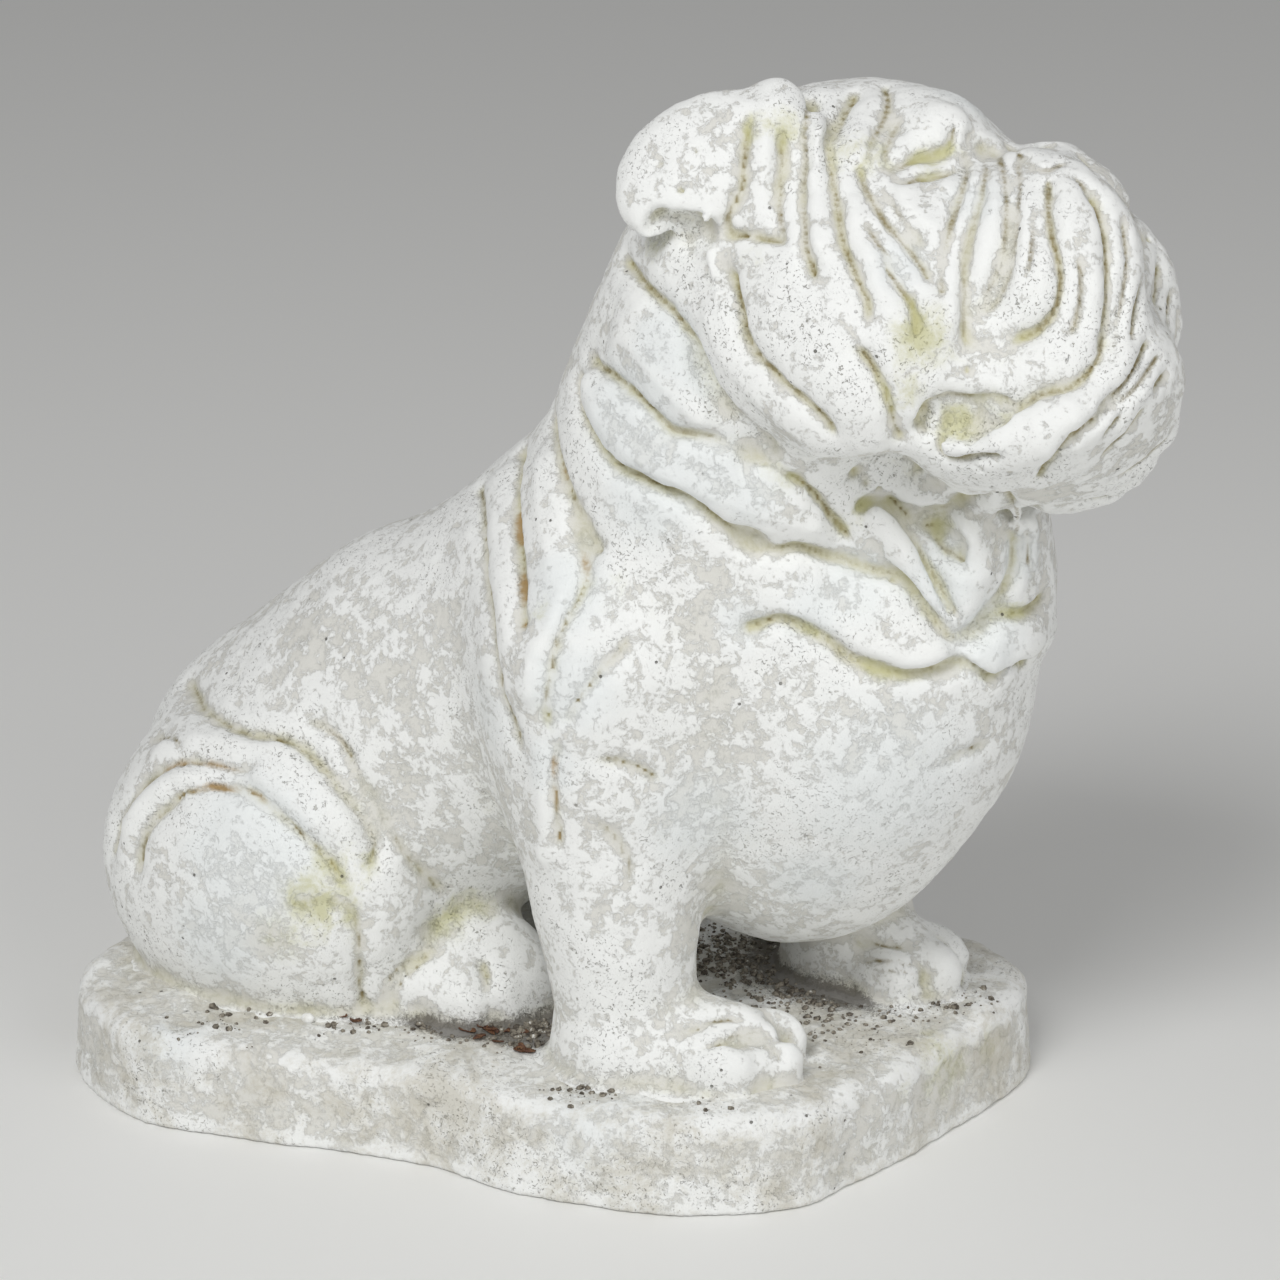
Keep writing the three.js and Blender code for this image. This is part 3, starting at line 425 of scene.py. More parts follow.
# Forms added to the head or taken away, as runs of (u, v, radius) on the drawing plane, with the depth
# that each is sunk by and its blend: the flake under the ear and the rolled lower lip, then the hollows
# under the ear, of the mouth and of the nostril.
HEAD_LOBES = [
    ([(26, 168, 2.6), (28, 158, 2.2), (29.5, 148, 1.6), (30.6, 138, 0.8)], -0.6, 1),
    ([(124, 73, 4), (137, 72, 7), (149, 76, 9.5), (161, 82, 11.5), (172, 87.5, 11.5), (180, 90, 9)], 5, 7),
]
HEAD_HOLLOWS = [
    ([(8, 164, 7), (14, 160, 9), (22, 162, 7)], 3, 4),
    ([(117, 87, 3.5), (123, 87, 5.5), (132, 86.5, 6.5), (141, 88.5, 4.5)], 3.5, 4),
    ([(160, 197, 2.6), (163, 199, 2.6)], 0.5, 4),
]

# The straps and the round fold of the dewlap, and the pocket in it, in the same way, on the near side only.
DEWLAP_LOBES = [
    ([(95, 51, 6), (102, 40, 7.5), (109, 28, 7), (117, 15.5, 6), (126, 6, 4)], 3, 2.5),
    ([(126, 48, 6), (131, 40, 11), (132.5, 28, 12), (131, 16, 8), (129.5, 8, 4)], 6, 2.5),
    ([(150, 52, 5), (155, 42, 7), (155, 30, 7), (151, 19, 5)], 3.5, 2.5),
]
DEWLAP_HOLLOWS = [
    ([(118, 50, 2.5), (123, 44, 4), (128, 38, 3)], 1, 2),
]

# The carved lines: width, depth and the points (u, v) of each on the drawing plane.
# A negative depth is a ridge.

# Rolls of the lip, the ear's front edge and the face.
HEAD_RIDGES = [
    (4, -2.6, [(119.5, 89), (120.5, 82), (124, 77.5), (131, 76), (140, 77), (150, 80.5)]),
    (5, -2.6, [(50, 216), (50, 204), (49.5, 190), (48, 176), (47, 165)]),
    (4.5, -2.4, [(94, 203), (93, 193), (97, 183), (104, 172), (111, 162)]),
    (4.5, -2.4, [(72, 216), (71, 200), (68, 184), (68, 168), (72, 154)]),
    (5, -2.2, [(137, 196), (134, 182), (130, 168), (125, 157), (124, 146), (125, 134), (125, 122)]),
]
# Rolls of the neck, chest, shoulder, side and haunch.
BODY_RIDGES = [
    (8, -4, [(-21, 106), (-17, 92), (-8, 80), (5, 70), (20, 62), (38, 55), (56, 49), (74, 44)]),
    (8, -4, [(-8, 122), (0, 116), (9, 104), (20, 92), (31, 83), (44, 76)]),
    (6.5, -3, [(27, 134), (32, 118), (42, 104), (56, 90), (69, 78), (78, 66)]),
    (7, -3.5, [(50, 14), (64, 10), (80, 3), (96, -5), (112, -8), (126, -5), (142, -9), (154, -4)]),
    (5.5, -4, [(-28, 24), (-35, 4), (-43, -10), (-44, -26)]),
    (4.5, -3, [(-38, -44), (-38, -60), (-38, -76), (-39, -90)]),
    (6, -3, [(-56, 64), (-57, 40), (-55, 18), (-52, -6)]),
    (6, -3, [(-40, 72), (-39, 52), (-36, 34), (-35, 20)]),
    (7, -3.5, [
        (-205, -76), (-198, -64), (-186, -56), (-170, -53.5), (-154, -55), (-140, -65), (-128, -77),
    ]),
    (7, -3, [(-190, -42), (-176, -40), (-160, -42), (-146, -44), (-134, -53), (-121, -66), (-115, -78)]),
]
# Brow, eye, cheek, the ear's front and the creases of the muzzle.
FACE_LINES = [
    (2.2, 4, [
        (42.9, 209.1), (41.7, 197.7), (41.1, 188.6), (40.6, 181.7), (37.7, 174.9), (34.3, 168),
        (34.9, 162.3), (43.4, 162.1), (52.6, 160.6), (55.8, 159.4),
    ]),
    (1.9, 3, [
        (57.1, 204.6), (56.6, 197.7), (57.1, 190.9), (55.8, 181.7), (54.9, 172.6), (55.4, 163.4),
        (56.2, 158.9),
    ]),
    (2.8, 4.5, [
        (69.1, 217.1), (66.3, 209.1), (64, 202.3), (63.8, 195.4), (62.9, 184), (62.9, 174.9), (64, 166.9),
        (64.2, 158.9), (66.5, 153.1), (69.5, 145.1), (71.1, 140.6),
    ]),
    (2.6, 5.5, [
        (84.6, 218.3), (81.7, 213.7), (78.9, 206.9), (77.1, 197.7), (77.1, 186.3), (78.3, 177.1),
        (79.4, 168), (81.1, 158.9), (84.6, 149.7), (87.4, 142.9), (90.3, 137.1), (90.9, 131.4),
        (89.7, 125.7),
    ]),
    (2.2, 3.5, [(97.1, 224), (98.9, 219.4), (98.6, 213.7), (96.6, 208), (93.7, 203.4), (91.4, 197.7)]),
    (2.8, 6, [
        (86.9, 193.1), (87.8, 186.3), (90.9, 180), (93.9, 174.9), (98.3, 168), (102.9, 163.4),
        (107.4, 158.9), (110.9, 154.3), (114.3, 149.1), (115.4, 141.7),
    ]),
    (2, 4, [
        (92, 194.3), (93.7, 187.4), (97.1, 180.6), (101.7, 172.6), (105.7, 166.9), (110.3, 161.1),
        (113.7, 156),
    ]),
    (2.4, 4, [(101.7, 209.1), (99.4, 202.3), (98.6, 195.4), (100.6, 189.7), (104, 184.6)]),
    (2.4, 4.5, [
        (98.6, 192), (105.1, 192), (110.9, 194.1), (116.6, 194.9), (122.3, 196.8), (125.5, 200.6),
        (126.4, 207.4),
    ]),
    (1.9, 3.5, [(104.6, 184.2), (110.9, 186.1), (116.6, 186.7), (121.7, 188), (125.7, 190.3)]),
    (2.4, 5, [
        (96.6, 153.1), (100.6, 146.9), (105.1, 141.1), (108.8, 134.9), (110.9, 128), (110.6, 122.3),
        (109.1, 117.7),
    ]),
    (1.8, 3, [(90.3, 168), (93.7, 162.3), (98.3, 156.6), (102.9, 152), (107.4, 145.1)]),
    (3, 6, [
        (81.7, 120.6), (86.9, 116.6), (91.4, 110.9), (95.4, 104), (98.1, 98.3), (100.5, 90.9), (102, 83),
        (105, 76.5), (110, 70),
    ]),
    (2.8, 5.5, [
        (34.9, 152), (36.6, 141.7), (38.9, 131.4), (40.2, 122.3), (44.6, 114.3), (51.4, 107.4),
        (58.3, 100.6), (66.3, 93.7), (72, 88), (78, 80), (84, 71), (88, 63),
    ]),
    (2.4, 4.5, [
        (138.3, 198.9), (137.7, 189.7), (136, 180.6), (133.7, 170.3), (131.4, 160), (130.3, 150.9),
        (130.9, 142.9), (131.4, 134.9), (131, 125.7), (131.2, 117.7),
    ]),
    (2, 3.5, [
        (133.1, 201.1), (130.3, 190.9), (128, 180.6), (125.1, 170.3), (122.3, 160), (120, 150.9),
        (120.6, 142.9), (122.3, 134.9),
    ]),
    (2.2, 4.5, [
        (142.6, 196.6), (144.9, 185.1), (145.7, 173.7), (145.1, 162.3), (144, 153.1), (141.7, 146.3),
        (138.3, 139.4), (134.3, 134.3),
    ]),
    (2.2, 4.5, [
        (149.7, 196.6), (150.3, 185.1), (149.1, 173.7), (148, 162.3), (146.3, 150.9), (144, 142.9),
        (140, 134.9), (136, 131.7),
    ]),
    (1.7, 2.6, [
        (155.4, 193.1), (156.9, 182.9), (157.3, 171.4), (156.1, 160), (154.9, 150.9), (153.1, 144),
    ]),
    (2.8, 6, [
        (162.3, 186.3), (162.3, 173.7), (163.7, 164.6), (166.9, 155.4), (168.6, 146.3), (168, 137.1),
        (164.8, 129.7), (157.1, 123.4), (147.4, 119.8),
    ]),
    (1.7, 2.8, [(174.9, 156.6), (176.6, 145.1), (176, 134.9), (174.3, 126.9), (171.4, 120.6)]),
    (2.8, 6, [
        (182.9, 180.6), (186.5, 171.4), (188.8, 160), (189.4, 148.6), (189.1, 134.9), (187.7, 123.4),
        (184.9, 114.3), (179.4, 107.4), (172.6, 103.4), (163.4, 101.1), (156.6, 98.5), (150.3, 93.7),
    ]),
    (1.8, 3, [(194.3, 168), (196, 156.6), (195.7, 144), (193.7, 132.6), (191.4, 121.1), (188.6, 113.1)]),
    (1.8, 3, [(202.3, 162.3), (202.5, 150.9), (200.9, 139.4), (199.1, 128), (197.1, 118.9)]),
    (2.2, 4.5, [
        (208, 158.9), (209.1, 148.6), (208, 137.1), (205.7, 125.7), (202.3, 114.3), (197.7, 105.1),
        (191.4, 97.1), (185.1, 92.3),
    ]),
    (1.8, 3, [
        (212.8, 150.9), (213.7, 139.4), (212, 128), (209.1, 116.6), (204.6, 107.4), (198.3, 99.4),
        (189.7, 92), (184, 88.6),
    ]),
    (1.8, 3, [(217.1, 137.1), (216.6, 125.7), (213.7, 114.3), (210.3, 105.1), (204.6, 98.3)]),
    (1.7, 2.6, [(170.3, 187.4), (176, 184.6), (180.6, 180.6), (184, 174.9)]),
    (1.6, 2.4, [(149.7, 197.1), (155.4, 192), (162.3, 189.7), (168, 190.9)]),
    (1.6, 2.4, [(168, 201.1), (174.9, 195.4), (181.7, 188.6), (188.6, 181.7), (194.3, 174.9)]),
]
# Edges of the lips.
LIP_LINES = [
    (2.4, 4.5, [
        (113.7, 85.7), (115.4, 90.3), (117.9, 92.8), (122.3, 94.2), (131.4, 93.7), (138.3, 93.4),
        (145.1, 93.1), (152, 93.9),
    ]),
    (2.2, 5, [
        (115.2, 86.9), (116.8, 81.1), (117.9, 75.4), (122.3, 71.2), (128, 70.1), (136, 71.8),
        (142.9, 72.5), (149.7, 74.3),
    ]),
    (2.4, 5, [(161.1, 64.6), (168, 72.9), (177.1, 80.9), (183.8, 86.9), (186.5, 92.6)]),
    (1.8, 3, [(195.4, 93.7), (190.9, 86.9), (186.3, 80.9)]),
    (1.8, 3, [(203.4, 93.7), (197.7, 84.6), (190.9, 77.5), (185.1, 72)]),
]
# Collar folds, dewlap and the fold across the chest.
NECK_LINES = [
    (3.2, 6, [
        (-13.7, 158.9), (-8, 152), (-2.3, 144), (4.6, 137.1), (10.3, 131.4), (16, 123.4), (20.6, 115.4),
        (24, 106.3), (28.6, 97.1), (33.1, 89.1), (38.9, 80), (46.3, 72),
    ]),
    (3.2, 5.5, [
        (-19.4, 110.9), (-11.4, 104), (-3.4, 97.1), (3.4, 90.3), (10.3, 83.4), (18.3, 81.1), (26.3, 79.4),
        (33.1, 77.1), (41.1, 73.7), (46.9, 70.9), (53.7, 66.3),
    ]),
    (3, 5.5, [
        (18.3, 117.7), (21.7, 109.7), (25.1, 102.9), (29.7, 94.9), (36.6, 85.7), (44.6, 77.1),
        (52.6, 70.9),
    ]),
    (3.4, 7, [
        (-24.6, 110.9), (-26.5, 101.7), (-26.7, 92.6), (-22.9, 83.4), (-18.3, 75.4), (-12.6, 68.6),
        (-4.6, 64), (4.6, 59.4), (14.9, 54.9), (22.9, 50.3), (30.9, 44.6), (38.9, 38.9), (46.9, 33.1),
    ]),
    (3.2, 6, [
        (40, 41.8), (46, 37), (53, 34.2), (63, 35), (73, 33.5), (83, 31), (92, 28), (102, 24.3),
        (110, 16), (118, 7), (125, 0.8), (130.5, 0.8), (137, 4), (142, 8), (147, 9.8), (155, 10.5),
        (160, 13), (164, 18),
    ]),
    (2.6, 5, [(54, 68), (64, 62), (72, 56), (77, 50), (81, 44), (85, 38)]),
    (2.6, 5, [
        (85, 50), (90, 53.5), (96, 55.2), (102, 53), (109, 49), (115, 47.8), (122, 50), (128, 53.8),
        (135, 56),
    ]),
    (2, 4, [(108, 51), (111, 43), (115, 33), (120, 23), (124, 15), (129, 7)]),
    (3, 6, [(118, 49), (121, 43), (124, 37), (128, 31), (133.5, 24.5)]),
    (3, 5, [
        (132, 2.5), (138.5, 5), (144, 12), (148, 21), (150.5, 30), (151, 40), (149.2, 48), (146, 55),
    ]),
    (2, 3.5, [(158.2, 49), (157.5, 40), (157, 33), (157.6, 26.5)]),
    (3.2, 6, [
        (38, 4.4), (46, 4.8), (52, 7), (59, 6), (66, 3), (74, -1), (80, -6), (87, -10), (95, -13),
        (104, -15.5), (112, -15.6), (120, -14), (125, -12), (130, -11.5), (136, -14.2), (142, -17.8),
        (147, -14), (151, -11), (158, -11),
    ]),
    (2, 2.5, [(122, -51), (127, -47), (133, -44.2), (138.5, -42)]),
]
# Folds behind the shoulder and on the foreleg.
SIDE_LINES = [
    (3, 4.5, [
        (-66.3, 69.7), (-65.1, 56), (-64, 40), (-62.9, 24), (-61.1, 6.9), (-59.4, -8), (-56.6, -21.7),
        (-52.6, -33.1), (-48.6, -45.7),
    ]),
    (2.4, 5.5, [
        (-47.2, 84.6), (-49.1, 72), (-50.2, 58.3), (-50.2, 44.6), (-48.6, 26.3), (-47.7, 12.6),
        (-48, 1.1),
    ]),
    (3.2, 6, [
        (-35.4, 98.3), (-36.6, 85.7), (-34.9, 74.3), (-31.4, 62.9), (-27.4, 53.7), (-22.9, 44.6),
        (-16, 34.1),
    ]),
    (2.8, 4.5, [
        (-27.4, 49.1), (-24, 40), (-22.1, 30.9), (-22.9, 20.6), (-26.3, 13.7), (-32, 3.4), (-34.5, -5.7),
        (-36.6, -14.9), (-37.7, -25.1), (-38.5, -34.3),
    ]),
    (2.8, 4, [(-2.9, 2.3), (-8, -4.6), (-14.9, -11.4), (-20.6, -19.4), (-26.9, -27.4), (-29.9, -34.9)]),
    (2.4, 3.5, [(-32, -40), (-35, -52), (-34, -68), (-32, -84)]),
    (2.4, 3.5, [(-20, -48), (-10, -49), (0, -52), (8, -57)]),
    (2.2, 3, [(-18, -72), (-10, -80), (-4, -90), (-4, -98)]),
]
# Folds over the haunch and the flank.
HAUNCH_LINES = [
    (3.2, 6, [
        (-180, -19.3), (-174.7, -26.7), (-166.7, -32), (-158.7, -35.3), (-149.3, -36.7), (-141.3, -38.7),
        (-133.3, -44), (-125.3, -52), (-118.7, -60), (-112, -68), (-106.7, -77.3), (-105.7, -85.3),
        (-109.3, -92.3),
    ]),
    (3, 5.5, [
        (-212, -85.3), (-210, -74.7), (-206.7, -66.7), (-202.7, -60), (-196, -52.7), (-188, -48.7),
        (-178.7, -47.3), (-170.7, -48.7), (-162.7, -50.7), (-154.4, -49.3),
    ]),
    (3.2, 6, [
        (-202.7, -94.7), (-201.3, -82.7), (-197.3, -73.3), (-190.7, -66.7), (-184, -61.3),
        (-174.7, -58.7), (-165.3, -58.7), (-156, -61.3), (-148, -68), (-140, -74.7), (-130.7, -82.7),
        (-122.7, -90.7), (-117.1, -100.3),
    ]),
    (2.6, 4, [
        (-133.3, -32), (-125.3, -35.7), (-120, -40), (-117.1, -45.3), (-114.4, -53.3), (-109.3, -62.7),
    ]),
    (4, 4.5, [(-110.7, -58.7), (-104, -70.7), (-96, -82.7), (-88, -92), (-80, -100)]),
    (3, 2.6, [(-141.3, -106.9), (-129.3, -105.3), (-117.1, -105.3)]),
    (3.2, 4.5, [(-116.7, -105.3), (-113.1, -116), (-111.7, -128), (-111.7, -138.7), (-110.7, -146.7)]),
    (2.4, 3.5, [(-102.7, -148), (-101.3, -138.7), (-96, -132), (-88, -126.7), (-80.7, -124)]),
    (2.6, 3, [(-194, -38.7), (-188.7, -38), (-184.7, -40.7)]),
]
# Toes and the creases of the wrist.
FOOT_LINES = [
    (2.2, 3, [(15, -158), (24, -154), (33, -150), (42, -150)]),
    (2.4, 4, [(20, -164), (30, -160), (38, -155.5), (47, -154), (55, -156)]),
    (2.4, 4, [(38, -168), (38, -162), (42, -158), (49, -158), (54, -162), (56, -168), (55, -173)]),
    (2.2, 3, [(57, -152), (61, -156), (63, -162)]),
    (2.4, 3.5, [(-65, -127), (-61, -133), (-62, -140)]),
    (2.2, 2.6, [(-98, -150), (-98, -141), (-93, -133), (-85, -127)]),
    (2, 2.2, [(86, -122), (98, -121), (108, -123)]),
    (2, 2.2, [(88, -128), (100, -127), (112, -129)]),
    (2, 2.2, [(92, -134), (104, -132), (116, -134)]),
    (2.2, 3, [(108, -147), (109, -141), (114, -137)]),
    (2.2, 3, [(122, -146), (122, -140), (126, -136)]),
]

# Dabs of colour: the place (u, v) on the drawing plane, the radius and the strength.
ALGAE_DABS = [
    (-128, -104, 22, 1.0), (-142, -118, 20, 0.7), (-116, -92, 16, 0.8),  # haunch
    (112, 122, 16, 1.0), (106, 100, 14, 0.8), (88, 196, 15, 0.8), (114, 190, 9, 0.9), (123, 196, 8, 0.8),
    (48, 205, 9, 0.9), (58, 206, 11, 0.8), (6, 158, 10, 0.8), (45, 150, 16, 0.5),  # ear and cheek
    (88, 52, 12, 0.6), (122, 46, 8, 0.7), (56, 64, 12, 0.6), (100, 60, 10, 0.5),  # dewlap
    (126, 86, 10, 1.0), (140, 96, 10, 0.7), (148, 118, 14, 0.5),  # mouth
    (150, 14, 14, 0.7), (96, -12, 14, 0.6), (70, 4, 10, 0.5), (110, -46, 20, 0.4),  # chest
    (-76, -112, 16, 0.7), (-64, -104, 14, 0.6), (-40, 10, 12, 0.6), (-36, -30, 12, 0.5),
    (-14, 20, 18, 0.5), (-120, -64, 12, 0.5),
]
OCHRE_DABS = [
    (-50, 44, 10, 1.0), (-50, 20, 10, 1.0), (-48, 2, 9, 0.8), (-22, 30, 9, 0.7), (-30, 66, 8, 0.5),
    (-132, -20, 18, 0.6), (-122, -36, 12, 0.5), (-40, -60, 14, 0.7), (-186, -52, 12, 0.9),
    (-170, -56, 14, 1.0), (-150, -58, 12, 0.7), (-186, -28, 9, 0.7),
    (-118, -88, 9, 0.5), (-36, -52, 9, 0.9), (-38, -80, 10, 0.6), (120, 92, 8, 0.6), (134, 90, 7, 0.7),
    (8, 156, 8, 0.6), (16, 162, 6, 0.6), (100, -184, 14, 0.4), (-92, -184, 14, 0.6), (24, 182, 7, 0.4),
]
SMOOTH_DABS = [
    (-4, 86, 26, 0.9), (4, 60, 22, 0.8), (24, 66, 18, 0.8), (44, 58, 16, 0.6), (-30, 20, 20, 0.7),
    (-28, -20, 20, 0.7), (10, 120, 16, 0.8), (24, 110, 14, 0.8), (70, 12, 16, 0.6), (120, 26, 16, 0.8),
    (86, 22, 18, 0.6), (40, 8, 14, 0.5), (-156, -84, 30, 1.0), (-170, -120, 24, 0.7), (100, -60, 44, 0.6),
    (24, -70, 26, 0.6), (70, -96, 24, 0.6), (-60, -30, 24, 0.4), (140, 2, 18, 0.7),
    (-36, -50, 14, 0.6), (130, 216, 16, 0.5), (104, 150, 12, 0.6), (136, 176, 14, 0.5), (152, 34, 12, 0.7),
]
PLINTH_STAINS = {
    "algae": [(122, -166, 26, 0.8), (140, -160, 16, 0.7), (104, -176, 18, 0.6), (-170, -150, 16, 0.3)],
    "ochre": [(-92, -184, 15, 0.75), (-112, -176, 10, 0.5), (104, -182, 12, 0.5), (60, -196, 14, 0.3)],
    "smooth": [(-190, -160, 20, 0.5), (-20, -190, 30, 0.4)],
}
# Air holes left by the casting, at (u, v) of the drawing plane, with their radius.
AIR_HOLES = [
    (180.7, 175, 1.6), (208.2, 132.6, 1.5), (200.3, 121.5, 1.4), (204, 160.3, 1.2), (130.6, 107.7, 1.4),
    (186, 161, 1.2), (148, 67, 1.4), (136, 68, 1.3), (155, 66, 1.1), (96, 60, 1.5), (173, 82, 1.2),
    (36, 179, 1.3), (16, 180, 1.4), (101, 24, 1.4), (22, 196, 1.2), (30, 188, 1.1), (8, 190, 1.1),
]

def smooth_run(drawn):
    """Points along a smooth curve through the drawn ones, with a tail beyond each end to fade in."""
    drawn = np.array(drawn, float)
    head, tail = drawn[0] - drawn[1], drawn[-1] - drawn[-2]
    before = drawn[0] + head * LINE_TAIL / np.linalg.norm(head)
    after = drawn[-1] + tail * LINE_TAIL / np.linalg.norm(tail)
    drawn = np.concatenate([[before], drawn, [after]])
    ends = np.concatenate([[2 * drawn[0] - drawn[1]], drawn, [2 * drawn[-1] - drawn[-2]]])
    run = []
    for i in range(1, len(ends) - 2):
        run.append(smooth_span(*ends[i - 1:i + 3]))
    return np.concatenate(run + [drawn[-1:]])


def smooth_span(a, b, c, d):
    count = max(2, int(np.linalg.norm(c - b) / RUN_STEP) + 1)
    t = (np.arange(count) / count)[:, None]
    bend = (2 * a - 5 * b + 4 * c - d) * t * t
    twist = (3 * b - a - 3 * c + d) * t ** 3
    return 0.5 * (2 * b + (c - a) * t + bend + twist)


def cast_line(clay, drawn):
    """A drawn line on the clay, parted where it jumps from one form to the next."""
    places, hit = clay.sight(smooth_run(drawn))
    places = places[hit]
    jumps = np.nonzero(np.linalg.norm(np.diff(places, axis=0), axis=1) > CASTING_JUMP)[0] + 1
    return [part for part in np.split(places, jumps) if len(part) >= SHORTEST_RUN]


def across_head(points):
    return HEAD.out(HEAD.into(points) * (1, -1, 1))


def across_body(points):
    return np.asarray(points) * (1, -1, 1) + (0, 2 * MIDLINE, 0)


def masses(clay):
    trunk(clay)
    hind_legs(clay)
    clay.ball((-22, -34, 44), (40, 26, 34), (0, 0, 0), 14)  # rough stone left behind the right foreleg
    front_legs(clay)
    head(clay)


class Study:
    """The whole figure in coarse clay, which finds where each cut goes."""

    def __init__(self, cell):
        self.clay = Clay(FIGURE_LOW, FIGURE_HIGH, cell)
        self.cuts = []
        masses(self.clay)
        self.carve(BODY_RIDGES, across_body)
        self.shape(HEAD_LOBES, False, across_head)
        self.shape(DEWLAP_LOBES, False)
        self.carve(HEAD_RIDGES, across_head)
        self.shape(HEAD_HOLLOWS, True, across_head)
        self.shape(DEWLAP_HOLLOWS, True)
        self.carve(HAUNCH_LINES, across_body, 0.85)
        self.carve(SIDE_LINES, across_body, 0.9)
        self.carve(NECK_LINES, None, 1.15)
        self.carve(FACE_LINES, across_head)
        self.carve(LIP_LINES, across_head)
        self.carve(FOOT_LINES, None, 1.3)
        self.pierce()

    def carve(self, group, across=None, gain=1.0):
        """Carves a group of lines gain times as deep as drawn, and mirrors them with across."""
        finest = FINEST_LINE * self.clay.cell
        found = []
        for width, drawn_depth, drawn in group:
            depth = gain * drawn_depth
            for path in cast_line(self.clay, drawn):
                found.append((path, width, depth))
                if across:
                    found.append((self.clay.snap(across(path)), width, depth))
        for path, width, depth in found:
            sunk = path - LINE_SINK * depth * self.clay.outward(path)
            self.clay.line(sunk, max(width, finest), depth)
            self.cuts.append(("line", (sunk, width, depth)))

    def shape(self, forms, away, across=None):
        """Adds forms or takes them away, and mirrors them with across."""
        for run, inward, blend in forms:
            seen = self.clay.sight([spot[:2] for spot in run])[0]
            copies = [seen]
            if across:
                copies.append(self.clay.snap(across(seen)))
            for places in copies:
                centres = places - inward * self.clay.outward(places)
                spine = np.concatenate([centres, [[spot[2]] for spot in run]], 1)
                cut = (spine, blend, BODY, away)
                self.clay.limb(*cut)
                self.cuts.append(("limb", cut))

    def pierce(self):
        for u, v, radius in AIR_HOLES:
            place, hit = self.clay.sight((u, v))
            if hit[0]:
                centre = place[0] - HOLE_SINK * radius * self.clay.outward(place[0])
                self.cuts.append(("ball", (centre, (radius,) * 3, (0, 0, 0), HOLE_BLEND, BODY, True)))


def dabs_on(clay, drawn):
    """Where drawn dabs of colour lie on the clay, with radius and strength."""
    places, hit = clay.sight([dab[:2] for dab in drawn])
    return [(place, dab[2], dab[3]) for place, dab, seen in zip(places, drawn, hit) if seen]


def root(clay):
    """Rounds the figure into the plinth's top and ends it flat inside the plinth."""
    ground = (clay.axes[2] - (STAND_LEVEL - 1))[None, None, :].astype(np.float32)
    spread = np.maximum(soft_min(clay.data, ground, FOOT_FILLET), clay.data - FOOT_FILLET)
    clay.data = np.maximum(spread, -ground - ROOT_DEPTH + 1)


def ramp(value, low, high):
    share = np.clip((value - low) / (high - low), 0, 1)
    return share * share * (3 - 2 * share)


def keep(clay, beyond):
    """Sinks the clay that lies beyond a piece's share and cuts it off there."""
    clay.data = clay.data + (SEAM_SINK * ramp(beyond, 1, SEAM)).astype(np.float32)
    clay.data = np.maximum(clay.data, (beyond - SEAM).astype(np.float32))


def beyond_head(clay):
    x, y, z = np.meshgrid(*clay.axes, indexing="ij", sparse=True)
    away = (x - HEAD_CENTRE[0]) ** 2 + (y - HEAD_CENTRE[1]) ** 2 + (z - HEAD_CENTRE[2]) ** 2
    return np.sqrt(away) - HEAD_REACH


def beyond_split(clay, side):
    """Beyond the plane that parts the face from the crown; side is 1 for the face, -1 for the crown."""
    x, y, z = np.meshgrid(*clay.axes, indexing="ij", sparse=True)
    forward = HEAD.axes[:, 0]
    ahead = (x - HEAD.origin[0]) * forward[0] + (y - HEAD.origin[1]) * forward[1]
    ahead = ahead + (z - HEAD.origin[2]) * forward[2] - FACE_START
    return np.maximum(beyond_head(clay), -side * ahead)


def beyond_face(clay):
    return beyond_split(clay, 1)


def beyond_crown(clay):
    return beyond_split(clay, -1)


def beyond_front(clay):
    behind = (FRONT_START - clay.axes[0])[:, None, None]
    return np.maximum(-beyond_head(clay), behind)


def beyond_rear(clay):
    return (clay.axes[0] - FRONT_START)[:, None, None] + np.zeros(clay.size)


def fullness(clay, reach):
    """How full of clay the space within reach of each cell is: a half on flat ground, more in a fold."""
    full = np.clip(0.5 - clay.data / clay.cell, 0, 1)
    half = max(1, round(reach / clay.cell))
    for axis in (0, 1, 2, 0, 1, 2):
        full = np.pad(full, [(half + 1, half) if n == axis else (0, 0) for n in range(3)], "edge")
        total = np.cumsum(full, axis, dtype=np.float64)
        ahead = np.take(total, np.arange(2 * half + 1, total.shape[axis]), axis)
        behind = np.take(total, np.arange(0, total.shape[axis] - 2 * half - 1), axis)
        full = ((ahead - behind) / (2 * half + 1)).astype(np.float32)
    return full


class Tones:
    """How deep in a fold or crease and how stained each point of a piece is."""

    def __init__(self, clay, dabs):
        self.clay = clay
        self.dabs = dabs
        self.full = fullness(clay, FOLD_REACH)

    def at(self, points):
        tones = {
            "fold": 2 * self.clay.sample(points, self.full) - 1,
            "crease": self.clay.sample(points, self.clay.crease),
        }
        for name, dabs in self.dabs.items():
            total = np.zeros(len(points))
            for place, radius, strength in dabs:
                gap = ((points - place) ** 2).sum(1) / radius ** 2
                total = np.maximum(total, strength * np.exp(-gap))
            tones[name] = total
        return tones


